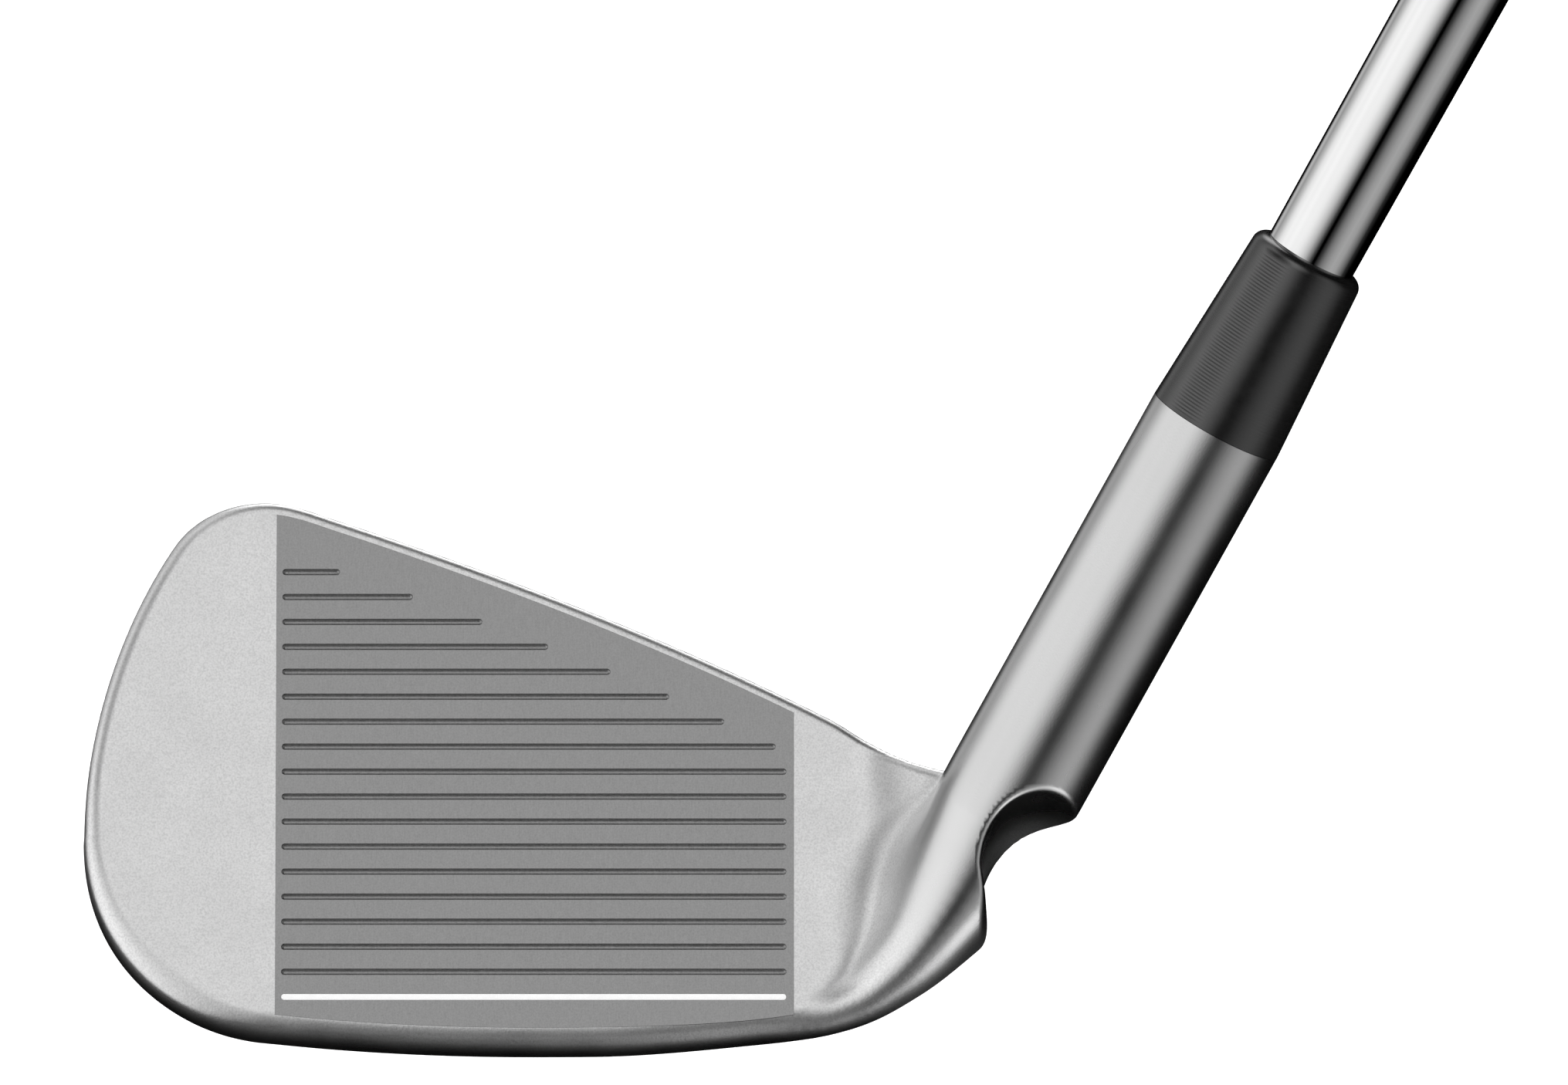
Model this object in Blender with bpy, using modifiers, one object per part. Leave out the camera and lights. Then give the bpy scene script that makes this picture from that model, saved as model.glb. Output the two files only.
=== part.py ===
# Iron golf club: cavity-back head with a relief notch in the hosel, black ferrule,
# stepped steel shaft and rubber grip, standing at address with its sole on the ground.
#
# World frame: +X from toe to heel, +Y from the face to the back of the head, +Z up.
# The origin is the lowest point of the sole, under the middle of the score lines.
# The head is laid out in the face frame: x along the score lines, w up the face,
# and depth straight back from the face plane.

import math

import bmesh
import bpy
import numpy as np
from mathutils import Vector
from mathutils.geometry import interpolate_bezier

MM = 0.001
FIT_GAP = 0.05 * MM

# Club
LOFT = math.radians(26.0)
LIE = math.radians(61.4)
CLUB_LENGTH = 965 * MM
FACE_FOOT_Y = -11.0 * MM
SOLE_FLAT_HALF = 5.0 * MM
HEEL_LOFT = math.radians(9.0)
TURN_START = 27.0 * MM
TURN_END = 42.0 * MM
SHAFT_FOOT_X = 32.1 * MM
SHAFT_FOOT_Y = -5.9 * MM

# Hosel and ferrule, as distances along the shaft axis from the ground
HOSEL_RADIUS = 6.8 * MM
HOSEL_TOP = 72.5 * MM
BORE_DEPTH = 33.0 * MM
FERRULE_LENGTH = 19.3 * MM
FERRULE_TOP_RADIUS = 5.85 * MM
FERRULE_EDGE = 1.2 * MM

# Shaft tube
TIP_RADIUS = 4.51 * MM
TIP_FIRST_STEP = 190 * MM
FIRST_STEP_RADIUS = 5.22 * MM
BUTT_RADIUS = 7.62 * MM
STEP_COUNT = 13
STEP_LENGTH = 38 * MM
STEP_SLOPE = 1.5 * MM
TIP_WALL = 0.7 * MM
STEP_WALL = 0.46 * MM
BUTT_WALL = 0.34 * MM
EPOXY_THICKNESS = 0.12 * MM

# Grip
GRIP_LENGTH = 267 * MM
GRIP_MOUTH_RADIUS = 8.7 * MM
GRIP_CAP_RADIUS = 13.6 * MM
GRIP_CAP_LENGTH = 7 * MM
TAPE_THICKNESS = 0.25 * MM
VENT_RADIUS = 1.6 * MM

# Striking face
FACE_HALF_WIDTH = 25.46 * MM
FACE_THICKNESS = 2.4 * MM
FACE_BOTTOM = 4.5 * MM
TOP_LIP = 1.0 * MM
LINE_COUNT = 18
LINE_PITCH = 2.54 * MM
LOWEST_LINE = 7.6 * MM
LINE_TOE_END = -24.6 * MM
LINE_HEEL_END = 24.6 * MM
LINE_TOP_MARGIN = 5.1 * MM
LINE_WIDTH = 0.66 * MM
LINE_DEPTH = 0.4 * MM

# Back of the head
LEDGE_BACK = 4.0 * MM
TOPLINE_DEPTH = 6.2 * MM
CAVITY_MARGIN = 5.6 * MM
CAVITY_BOTTOM = 22.0 * MM
CAVITY_HEEL = 25.5 * MM
CAVITY_TOE = -37.4 * MM
BADGE_THICKNESS = 1.5 * MM
WEIGHT_RADIUS = 4.6 * MM
WEIGHT_LENGTH = 6.0 * MM
TOE_WEIGHT_RADIUS = 3.6 * MM
TOE_WEIGHT_LENGTH = 7.0 * MM
SOCKET_RADIUS = 1.7 * MM
SOCKET_DEPTH = 2.6 * MM

RING_SIDES = 40

# Outline of the head and the rise of the sole in the face frame (x, w), as Bezier spans
TOE_CURVE = ((-43.9, 23.9), (-43.9, 33.4), (-41.0, 44.6), (-35.2, 53.4))
TOE_SHOULDER = ((-35.2, 53.4), (-33.55, 55.95), (-30.4, 57.7), (-26.6, 57.7))
TOP_CORNER = ((-26.6, 57.7), (-24.1, 57.7), (-21.6, 56.6), (-19.5, 55.9))
TOP_CURVE = ((-19.5, 55.9), (-2.1, 50.0), (16.4, 42.6), (33.0, 33.5))
CROTCH_CURVE = ((33.0, 33.5), (36.0, 32.0), (38.5, 31.2), (43.5, 31.5))
SOLE_TOE_CURVE = ((0.0, 0.0), (-10.0, 0.0), (-19.0, 0.55), (-27.0, 1.49))
SOLE_TOE_CORNER = ((-27.0, 1.49), (-34.6, 2.53), (-43.95, 8.75), (-43.95, 21.08))
SOLE_HEEL_CURVE = ((0.0, 0.0), (30.5, 0.0), (35.6, 2.3), (45.0, 12.3))
BEZIER_STEPS = 48


def blend(start, end, share):
    return start + (end - start) * share


def smooth(share):
    share = max(0.0, min(1.0, share))
    return share * share * (3 - 2 * share)


def clear_scene():
    for obj in list(bpy.data.objects):
        bpy.data.objects.remove(obj, do_unlink=True)


def new_collection(name):
    made = bpy.data.collections.new(name)
    bpy.context.scene.collection.children.link(made)
    return made


def material(name, colour, roughness, metallic):
    made = bpy.data.materials.new(name)
    made.use_nodes = True
    shader = made.node_tree.nodes["Principled BSDF"]
    shader.inputs["Base Color"].default_value = (*colour, 1.0)
    shader.inputs["Roughness"].default_value = roughness
    shader.inputs["Metallic"].default_value = metallic
    return made


def bezier_points(span, steps=BEZIER_STEPS):
    """Points in metres along one Bezier span given in millimetres."""
    corners = [Vector((x * MM, y * MM, 0)) for x, y in span]
    return [Vector((p.x, p.y)) for p in interpolate_bezier(*corners, steps)]


def height_at(spans, x):
    """Height at x of an outline made of Bezier spans that run along x."""
    points = sorted((p.x, p.y) for span in spans for p in bezier_points(span))
    return float(np.interp(x, [p[0] for p in points], [p[1] for p in points]))


def face_top(x):
    return height_at((TOE_CURVE, TOE_SHOULDER, TOP_CORNER, TOP_CURVE, CROTCH_CURVE), x)


def sole_rise(x):
    if abs(x) <= SOLE_FLAT_HALF:
        return 0.0
    return height_at((SOLE_TOE_CURVE, SOLE_TOE_CORNER) if x < 0 else (SOLE_HEEL_CURVE,), x)


def local_loft(x):
    """The sections stand up towards the hosel, where the face sweeps forward into it."""
    return blend(LOFT, HEEL_LOFT, smooth((x - TURN_START) / (TURN_END - TURN_START)))


def face_to_world(x, w, depth):
    loft = local_loft(x)
    return Vector((
        x,
        FACE_FOOT_Y + w * math.sin(loft) + depth * math.cos(loft),
        w * math.cos(loft) - depth * math.sin(loft),
    ))


def mesh_object(name, mesh, collection, look=None, parent=None):
    obj = bpy.data.objects.new(name, mesh)
    collection.objects.link(obj)
    if look:
        mesh.materials.append(look)
    obj.parent = parent
    return obj


def make_cutter(obj):
    obj.hide_render = True
    obj.display_type = "WIRE"
    return obj


def rings_to_mesh(name, rings):
    """A closed loft through rings with the same number of points."""
    bm = bmesh.new()
    loops = [[bm.verts.new(p) for p in ring] for ring in rings]
    count = len(loops[0])
    for first, second in zip(loops, loops[1:]):
        for i in range(count):
            j = (i + 1) % count
            bm.faces.new((first[i], first[j], second[j], second[i]))
    bm.faces.new(loops[0][::-1])
    bm.faces.new(loops[-1])
    bmesh.ops.triangulate(bm, faces=bm.faces)
    bmesh.ops.recalc_face_normals(bm, faces=bm.faces)
    mesh = bpy.data.meshes.new(name)
    bm.to_mesh(mesh)
    bm.free()
    return mesh


def boolean(obj, other, operation):
    modifier = obj.modifiers.new(operation.lower(), "BOOLEAN")
    modifier.operation = operation
    modifier.solver = "EXACT"
    modifier.object = other


def slab(name, outlines, low, high, collection, frame, look=None):
    """Flat outlines, as points in the frame's XY plane, extruded between two heights."""
    curve = bpy.data.curves.new(name, "CURVE")
    curve.dimensions = "2D"
    curve.fill_mode = "BOTH"
    curve.extrude = (high - low) / 2
    for outline in outlines:
        spline = curve.splines.new("POLY")
        spline.points.add(len(outline) - 1)
        for point, (x, y) in zip(spline.points, outline):
            point.co = (x, y, 0, 1)
        spline.use_cyclic_u = True
    guide = bpy.data.objects.new(name + "_outline", curve)
    collection.objects.link(guide)
    guide.parent = frame
    guide.location = (0, 0, (low + high) / 2)
    bpy.context.view_layer.update()
    graph = bpy.context.evaluated_depsgraph_get()
    mesh = bpy.data.meshes.new_from_object(guide.evaluated_get(graph))
    mesh.name = name
    mesh.materials.clear()
    bm = bmesh.new()
    bm.from_mesh(mesh)
    bmesh.ops.remove_doubles(bm, verts=bm.verts, dist=1e-6)
    bmesh.ops.recalc_face_normals(bm, faces=bm.faces)
    bm.to_mesh(mesh)
    bm.free()
    world = guide.matrix_world.copy()
    bpy.data.objects.remove(guide, do_unlink=True)
    obj = mesh_object(name, mesh, collection, look)
    obj.matrix_world = world
    return obj


def turned(name, profile, collection, look, parent, closed=True, sides=RING_SIDES):
    """A solid of revolution about the parent's Z axis; the profile runs down its outer side."""
    mesh = bpy.data.meshes.new(name)
    count = len(profile)
    edges = [(i, i + 1) for i in range(count - 1)]
    if closed:
        edges.append((count - 1, 0))
    mesh.from_pydata([(r, 0, z) for r, z in profile], edges, [])
    obj = mesh_object(name, mesh, collection, look, parent)
    screw = obj.modifiers.new("turn", "SCREW")
    screw.axis = "Z"
    screw.steps = sides
    screw.render_steps = sides
    screw.use_merge_vertices = True
    screw.merge_threshold = 1e-6
    screw.use_smooth_shade = True
    return obj


def arc(centre, radius, start, end, steps):
    """Points on an arc in the XY plane, angles in degrees."""
    found = []
    for i in range(steps + 1):
        angle = math.radians(start + (end - start) * i / steps)
        found.append((centre[0] + radius * math.cos(angle), centre[1] + radius * math.sin(angle)))
    return found


# Head: blade

# Heights above the bottom of the section and depths behind the face, from the leading edge
# round the sole and the trailing edge to the top of the muscle, in millimetres
LOWER_SECTION = (
    (1.68, 0.0), (0.61, 1.11), (0.06, 2.38), (0.0, 3.85), (0.31, 5.37), (1.3445, 8.5385),
    (2.6597, 11.2349), (4.55, 14.2), (6.72, 17.05), (8.54, 18.05), (10.42, 17.57), (20.7, 11.9),
)
SECTION_BOTTOM = 2.82 * MM
FULL_SECTION_HEIGHT = 40 * MM
TOE_TIP_X = -43.95 * MM
TOE_ROUND = 2.2 * MM
BLADE_STATIONS = (
    -43.88, -43.75, -43.5, -43.1, -42.5, -41.7, -40.7, -39.4, -37.8, -36.0, -34.0, -31.8, -29.4,
    -26.6, -24.0, -21.5, -19.0, -12.0, -5.0, 5.0, 12.0, 19.0, 24.0, 27.5, 30.5, 33.0, 35.5, 37.5,
    39.5, 41.5, 43.2,
)


def depth_share(x):
    """The head gets shallower towards the toe tip and towards the heel."""
    if x < 0:
        return 1 - 0.62 * smooth((-x - 22 * MM) / (22 * MM))
    return 1 - 0.72 * smooth((x - 18 * MM) / (24 * MM))


def blade_ring(x):
    low = SECTION_BOTTOM + sole_rise(x)
    top = face_top(x)
    height = top - low
    squeeze = min(1.0, height / FULL_SECTION_HEIGHT)
    share = depth_share(x)
    from_tip = max(0.0, TOE_ROUND - (x - TOE_TIP_X))
    inset = TOE_ROUND - math.sqrt(TOE_ROUND**2 - from_tip**2)
    points = [(low + dw * MM * squeeze, d * MM * share) for dw, d in LOWER_SECTION]
    muscle_w, muscle_d = points[-1]
    top_depth = TOPLINE_DEPTH * blend(1.0, share, 0.5)
    for part, fall in ((0.30, 0.58), (0.62, 0.84)):
        points.append((blend(muscle_w, top, part), blend(muscle_d, top_depth, fall)))
    points.append((top - 1.2 * MM * squeeze, top_depth))
    points.append((top - 0.3 * MM * squeeze, top_depth - 0.6 * MM))
    points.append((top, top_depth - 2.0 * MM))
    points.append((top, 1.2 * MM))
    points.append((top - 0.25 * MM * squeeze, 0.3 * MM))
    points.append((top - 0.9 * MM * squeeze, 0.0))
    deepest = max(d for _, d in points)
    return [face_to_world(x, w, min(max(d, inset), deepest - inset)) for w, d in points]


def build_blade(collection):
    rings = [blade_ring(x * MM) for x in BLADE_STATIONS]
    return mesh_object("blade", rings_to_mesh("blade", rings), collection)


# Head: hosel, sweeping down into the heel and the sole

HEEL_SPINE = ((45.5, 24.6), (41.2, 16.6), (29.5, 4.6), (14.0, 4.7))
HEEL_END_Y = -0.8 * MM
HEEL_END_HALF_HEIGHT = 3.6 * MM
HEEL_END_HALF_WIDTH = 6.8 * MM
HEEL_STEPS = 11


def ring_about(centre, along, half_height, half_width):
    across = Vector((0, 1, 0))
    up = along.cross(across).normalized()
    found = []
    for i in range(RING_SIDES):
        angle = 2 * math.pi * i / RING_SIDES
        found.append(centre + up * half_height * math.cos(angle) + across * half_width * math.sin(angle))
    return found


def build_hosel(collection):
    axis = Vector((math.cos(LIE), 0, math.sin(LIE)))
    foot = Vector((SHAFT_FOOT_X, SHAFT_FOOT_Y, 0))
    rings = [ring_about(foot + axis * HOSEL_TOP, axis, HOSEL_RADIUS, HOSEL_RADIUS)]
    spine = bezier_points(HEEL_SPINE, HEEL_STEPS)
    for i, point in enumerate(spine):
        before = spine[max(i - 1, 0)]
        after = spine[min(i + 1, len(spine) - 1)]
        along = Vector((before.x - after.x, 0, before.y - after.y)).normalized()
        if i == 0:
            along = axis
        share = smooth(i / (len(spine) - 1))
        centre = Vector((point.x, blend(SHAFT_FOOT_Y, HEEL_END_Y, share), point.y))
        half_height = blend(HOSEL_RADIUS, HEEL_END_HALF_HEIGHT, share)
        half_width = blend(HOSEL_RADIUS, HEEL_END_HALF_WIDTH, share)
        rings.append(ring_about(centre, along, half_height, half_width))
    return mesh_object("hosel", rings_to_mesh("hosel", rings), collection)


# Head: cutters

NOTCH_CENTRE = (50.5 * MM, 19.2 * MM)
NOTCH_RADIUS = 6.7 * MM


def notch_outline():
    """An arc over the top, a near-upright wall to the heel corner, and open to the heel side."""
    dome = arc(NOTCH_CENTRE, NOTCH_RADIUS, 55, 180, 14)
    wall = [(43.9 * MM, 16.5 * MM), (44.3 * MM, 13.4 * MM), (44.8 * MM, 10.5 * MM), (45.5 * MM, 6.0 * MM)]
    outside = [(66 * MM, 6.0 * MM), (66 * MM, 24.7 * MM)]
    return dome + wall + outside


def stations_between(low, high, count):
    return [blend(low, high, i / (count - 1)) for i in range(count)]


def face_outline(grow):
    """The machined field of the face, grown by a gap on every side."""
    left, right = -FACE_HALF_WIDTH - grow, FACE_HALF_WIDTH + grow
    bottom = [(x, FACE_BOTTOM + sole_rise(x) - grow) for x in stations_between(left, right, 12)]
    top = [(x, face_top(x) - TOP_LIP + grow) for x in stations_between(right, left, 15)]
    return bottom + top


TOE_SWEEP = 14.0 * MM
HEEL_CORNER = 3.0 * MM


def cavity_outline(inset):
    """The recess behind the face: parallel to the topline, rounded at the toe."""
    toe, heel = CAVITY_TOE + inset, CAVITY_HEEL - inset
    bottom = CAVITY_BOTTOM + inset
    low_toe = arc((toe + TOE_SWEEP, bottom + TOE_SWEEP), TOE_SWEEP, 180, 270, 8)
    low_heel = arc((heel - HEEL_CORNER, bottom + HEEL_CORNER), HEEL_CORNER, 270, 360, 5)
    top = [(x, face_top(x) - CAVITY_MARGIN - inset) for x in stations_between(heel, -27 * MM, 12)]
    toe_side = [(x, face_top(x) - CAVITY_MARGIN - inset) for x in (-30 * MM, -33 * MM)]
    toe_side += [(toe + 0.6 * MM, 40 * MM)]
    return low_toe + low_heel + top + toe_side


def weight_frame(name, x, w, depth, tilt, collection, parent):
    """An empty whose Z axis points out of the back of the head."""
    empty = bpy.data.objects.new(name, None)
    collection.objects.link(empty)
    empty.parent = parent
    empty.location = (x, w, -depth)
    empty.rotation_euler = (math.pi + tilt, 0, 0)
    return empty


def build():
    clear_scene()
    club = new_collection("iron_golf_club")
    cutters = new_collection("cutters")
    cutters.hide_render = True

    steel = material("satin_steel", (0.62, 0.62, 0.61), 0.34, 1.0)
    face_steel = material("milled_face_steel", (0.38, 0.38, 0.38), 0.42, 1.0)
    paint = material("white_paint", (0.9, 0.9, 0.9), 0.4, 0.0)
    elastomer = material("black_elastomer", (0.03, 0.03, 0.03), 0.7, 0.0)
    badge_look = material("badge_aluminium", (0.30, 0.31, 0.32), 0.4, 1.0)
    tungsten = material("dark_tungsten", (0.22, 0.22, 0.23), 0.4, 1.0)
    ferrule_look = material("black_ferrule", (0.02, 0.02, 0.02), 0.3, 0.0)
    chrome = material("chrome_shaft", (0.75, 0.75, 0.75), 0.08, 1.0)
    epoxy_look = material("amber_epoxy", (0.5, 0.4, 0.2), 0.3, 0.0)
    rubber = material("grip_rubber", (0.025, 0.025, 0.025), 0.75, 0.0)
    tape_look = material("grip_tape", (0.7, 0.66, 0.55), 0.8, 0.0)
    brass = material("brass", (0.7, 0.55, 0.28), 0.35, 1.0)

    face_frame = bpy.data.objects.new("face_frame", None)
    club.objects.link(face_frame)
    face_frame.location = (0, FACE_FOOT_Y, 0)
    face_frame.rotation_euler = (math.pi / 2 - LOFT, 0, 0)

    shaft_frame = bpy.data.objects.new("shaft_axis", None)
    club.objects.link(shaft_frame)
    shaft_frame.location = (SHAFT_FOOT_X, SHAFT_FOOT_Y, 0)
    shaft_frame.rotation_euler = (0, math.pi / 2 - LIE, 0)
    bpy.context.view_layer.update()

    build_head(club, cutters, face_frame, shaft_frame, steel)
    build_face(club, cutters, face_frame, face_steel, paint)
    build_back(club, face_frame, elastomer, badge_look, tungsten)
    build_shaft(club, shaft_frame, chrome, ferrule_look, epoxy_look, brass)
    build_grip(club, shaft_frame, rubber, tape_look)


def build_head(club, cutters, face_frame, shaft_frame, steel):
    head = build_blade(club)
    head.name = "head_body"
    head.data.materials.append(steel)
    hosel = make_cutter(build_hosel(cutters))
    boolean(head, hosel, "UNION")

    deep = 40 * MM
    notch = make_cutter(slab("notch_cutter", [notch_outline()], -deep, deep, cutters, face_frame))
    boolean(head, notch, "DIFFERENCE")

    bore_bottom = HOSEL_TOP - BORE_DEPTH
    bore_radius = TIP_RADIUS + EPOXY_THICKNESS + 2 * FIT_GAP
    bore_profile = [(0, HOSEL_TOP + 2 * MM), (bore_radius, HOSEL_TOP + 2 * MM),
                    (bore_radius, bore_bottom - 1 * MM), (0, bore_bottom - 2.5 * MM)]
    bore = turned("bore_cutter", bore_profile, cutters, None, shaft_frame, closed=False)
    boolean(head, make_cutter(bore), "DIFFERENCE")

    pocket_depth = FACE_THICKNESS + FIT_GAP
    pocket = slab("face_pocket_cutter", [face_outline(FIT_GAP)], -pocket_depth, 3 * MM, cutters, face_frame)
    boolean(head, make_cutter(pocket), "DIFFERENCE")

    cavity = slab("cavity_cutter", [cavity_outline(0)], -30 * MM, -LEDGE_BACK, cutters, face_frame)
    boolean(head, make_cutter(cavity), "DIFFERENCE")
    window = slab("window_cutter", [window_outline(0)], -6 * MM, -1 * MM, cutters, face_frame)
    boolean(head, make_cutter(window), "DIFFERENCE")

    for name, place, radius, length in WEIGHT_PORTS:
        frame = weight_frame(name + "_port_frame", *place, cutters, face_frame)
        reach = 12 * MM
        profile = [(0, reach), (radius + FIT_GAP, reach), (radius + FIT_GAP, -length - FIT_GAP),
                   (0, -length - FIT_GAP)]
        port = turned(name + "_port_cutter", profile, cutters, None, frame, closed=False)
        boolean(head, make_cutter(port), "DIFFERENCE")


def window_outline(inset):
    """The opening in the ledge that the face plate rests on."""
    toe, heel = -22.0 * MM + inset, 22.0 * MM - inset
    bottom = CAVITY_BOTTOM + 1.5 * MM + inset
    margin = CAVITY_MARGIN + 1.5 * MM
    top = [(x, face_top(x) - margin - inset) for x in stations_between(heel, toe, 8)]
    return [(toe, bottom), (heel, bottom)] + top


MUSCLE_SLOPE = math.atan2(17.57 - 11.9, 20.7 - 10.42)
TUNING_PLACE = (0.0, 16.6 * MM, 15.55 * MM, MUSCLE_SLOPE)
TOE_PLACE = (-31.0 * MM, 20.3 * MM, 11.3 * MM, MUSCLE_SLOPE * 0.8)
# Name, place in the face frame with the tilt of the back surface there, radius and length
WEIGHT_PORTS = (
    ("tuning_weight", TUNING_PLACE, WEIGHT_RADIUS, WEIGHT_LENGTH),
    ("toe_weight", TOE_PLACE, TOE_WEIGHT_RADIUS, TOE_WEIGHT_LENGTH),
)


def line_heel_end(w):
    """Where a score line stops: at the field's edge, or short of the topline."""
    x = LINE_HEEL_END
    while face_top(x) - LINE_TOP_MARGIN < w:
        x -= 0.1 * MM
    return x


def score_line_outline(w, inset):
    radius = LINE_WIDTH / 2 - inset
    toe, heel = LINE_TOE_END + LINE_WIDTH / 2, line_heel_end(w) - LINE_WIDTH / 2
    return arc((heel, w), radius, -90, 90, 4) + arc((toe, w), radius, 90, 270, 4)


def build_face(club, cutters, face_frame, face_steel, paint):
    plate = slab("face_plate", [face_outline(0)], -FACE_THICKNESS, 0, club, face_frame, face_steel)
    lines = [score_line_outline(LOWEST_LINE + i * LINE_PITCH, 0) for i in range(LINE_COUNT)]
    cutter = slab("score_line_cutter", lines, -LINE_DEPTH, 1 * MM, cutters, face_frame)
    boolean(plate, make_cutter(cutter), "DIFFERENCE")
    fill = score_line_outline(LOWEST_LINE, FIT_GAP)
    slab("score_line_paint", [fill], FIT_GAP - LINE_DEPTH, -FIT_GAP, club, face_frame, paint)


def build_back(club, face_frame, elastomer, badge_look, tungsten):
    insert_top = LEDGE_BACK - FIT_GAP
    insert_bottom = FACE_THICKNESS + 2 * FIT_GAP
    window = [window_outline(FIT_GAP)]
    slab("damping_insert", window, -insert_top, -insert_bottom, club, face_frame, elastomer)
    badge_low = LEDGE_BACK + FIT_GAP
    badge_high = badge_low + BADGE_THICKNESS
    recess = [cavity_outline(0.3 * MM)]
    slab("cavity_badge", recess, -badge_high, -badge_low, club, face_frame, badge_look)
    for name, place, radius, length in WEIGHT_PORTS:
        frame = weight_frame(name + "_frame", *place, club, face_frame)
        outside = -0.3 * MM
        profile = [(0, outside - SOCKET_DEPTH), (SOCKET_RADIUS, outside - SOCKET_DEPTH),
                   (SOCKET_RADIUS, outside), (radius - 0.4 * MM, outside), (radius, outside - 0.4 * MM),
                   (radius, -length), (0, -length)]
        turned(name, profile, club, tungsten, frame, closed=False, sides=24)


def shaft_outer():
    """Distance from the tip and radius, from tip to butt."""
    length = CLUB_LENGTH - GRIP_CAP_LENGTH * 0.5 - (HOSEL_TOP - BORE_DEPTH)
    points = [(0, TIP_RADIUS), (BORE_DEPTH, TIP_RADIUS), (TIP_FIRST_STEP, FIRST_STEP_RADIUS)]
    rise = (BUTT_RADIUS - FIRST_STEP_RADIUS) / STEP_COUNT
    for i in range(STEP_COUNT):
        start = TIP_FIRST_STEP + i * STEP_LENGTH
        points.append((start + STEP_SLOPE, FIRST_STEP_RADIUS + (i + 1) * rise))
        if i < STEP_COUNT - 1:
            points.append((start + STEP_LENGTH, FIRST_STEP_RADIUS + (i + 1) * rise))
    points.append((length, BUTT_RADIUS))
    return points


def build_shaft(club, shaft_frame, chrome, ferrule_look, epoxy_look, brass):
    tip = HOSEL_TOP - BORE_DEPTH + FIT_GAP
    outer = [(radius, tip + along) for along, radius in shaft_outer()]
    last = outer[-1][1]
    inner = [(TIP_RADIUS - TIP_WALL, tip), (FIRST_STEP_RADIUS - STEP_WALL, tip + TIP_FIRST_STEP),
             (BUTT_RADIUS - BUTT_WALL, tip + TIP_FIRST_STEP + STEP_COUNT * STEP_LENGTH),
             (BUTT_RADIUS - BUTT_WALL, last)]
    turned("shaft", outer[::-1] + inner, club, chrome, shaft_frame)

    sleeve_in = TIP_RADIUS + FIT_GAP
    sleeve_out = sleeve_in + EPOXY_THICKNESS
    bond = [(sleeve_out, HOSEL_TOP - 1 * MM), (sleeve_out, tip + 1 * MM),
            (sleeve_in, tip + 1 * MM), (sleeve_in, HOSEL_TOP - 1 * MM)]
    turned("hosel_epoxy", bond, club, epoxy_look, shaft_frame)

    low, high = HOSEL_TOP + FIT_GAP, HOSEL_TOP + FERRULE_LENGTH
    bore_low, bore_high = shaft_radius(low) + FIT_GAP, shaft_radius(high) + FIT_GAP
    edge = arc((FERRULE_TOP_RADIUS - FERRULE_EDGE, high - FERRULE_EDGE), FERRULE_EDGE, 90, 0, 5)
    ferrule = [(bore_high, high)] + edge + [(HOSEL_RADIUS, low), (bore_low, low)]
    turned("ferrule", ferrule, club, ferrule_look, shaft_frame)

    plug_radius = TIP_RADIUS - TIP_WALL - 0.1 * MM
    head_radius = TIP_RADIUS - 0.3 * MM
    plug = [(0, tip + 18 * MM), (plug_radius, tip + 18 * MM), (plug_radius, tip - FIT_GAP),
            (head_radius, tip - FIT_GAP), (head_radius, tip - 0.6 * MM), (0, tip - 0.6 * MM)]
    turned("swingweight_plug", plug, club, brass, shaft_frame, closed=False, sides=24)


def shaft_radius(height):
    """Outer radius of the shaft at a distance along the axis from the ground."""
    along = height - (HOSEL_TOP - BORE_DEPTH + FIT_GAP)
    points = shaft_outer()
    for (a, ra), (b, rb) in zip(points, points[1:]):
        if a <= along <= b:
            return blend(ra, rb, (along - a) / (b - a))
    return points[-1][1]


def build_grip(club, shaft_frame, rubber, tape_look):
    top = CLUB_LENGTH - GRIP_CAP_LENGTH
    mouth = CLUB_LENGTH - GRIP_LENGTH
    tape_in = BUTT_RADIUS + FIT_GAP
    tape_out = tape_in + TAPE_THICKNESS
    tape = [(tape_out, top - 1 * MM), (tape_out, mouth + 1 * MM),
            (tape_in, mouth + 1 * MM), (tape_in, top - 1 * MM)]
    turned("grip_tape", tape, club, tape_look, shaft_frame)

    bore = tape_out + FIT_GAP
    outer = []
    for share in (1.0, 0.93, 0.82, 0.66, 0.5, 0.33, 0.16, 0.03):
        swell = blend(GRIP_MOUTH_RADIUS, GRIP_CAP_RADIUS - 2.2 * MM, share)
        flare = 2.2 * MM * smooth((share - 0.82) / 0.18)
        outer.append((swell + flare, blend(mouth, top, share)))
    outer.append((GRIP_MOUTH_RADIUS - 0.6 * MM, mouth))
    turned("grip", outer + [(bore, mouth), (bore, top)], club, rubber, shaft_frame)

    low, high = top + FIT_GAP, CLUB_LENGTH
    crown = arc((GRIP_CAP_RADIUS - 3 * MM, high - 3 * MM), 3 * MM, 90, 0, 5)
    butt_end = CLUB_LENGTH - GRIP_CAP_LENGTH * 0.5 + 2 * FIT_GAP
    hollow = BUTT_RADIUS + TAPE_THICKNESS + 3 * FIT_GAP
    cap = [(VENT_RADIUS, high)] + crown + [(GRIP_CAP_RADIUS, low), (hollow, low),
                                           (hollow, butt_end), (VENT_RADIUS, butt_end)]
    turned("grip_cap", cap, club, rubber, shaft_frame)


build()
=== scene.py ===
import math

import bmesh
import bpy
import numpy as np
from mathutils import Matrix, Vector


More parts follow.
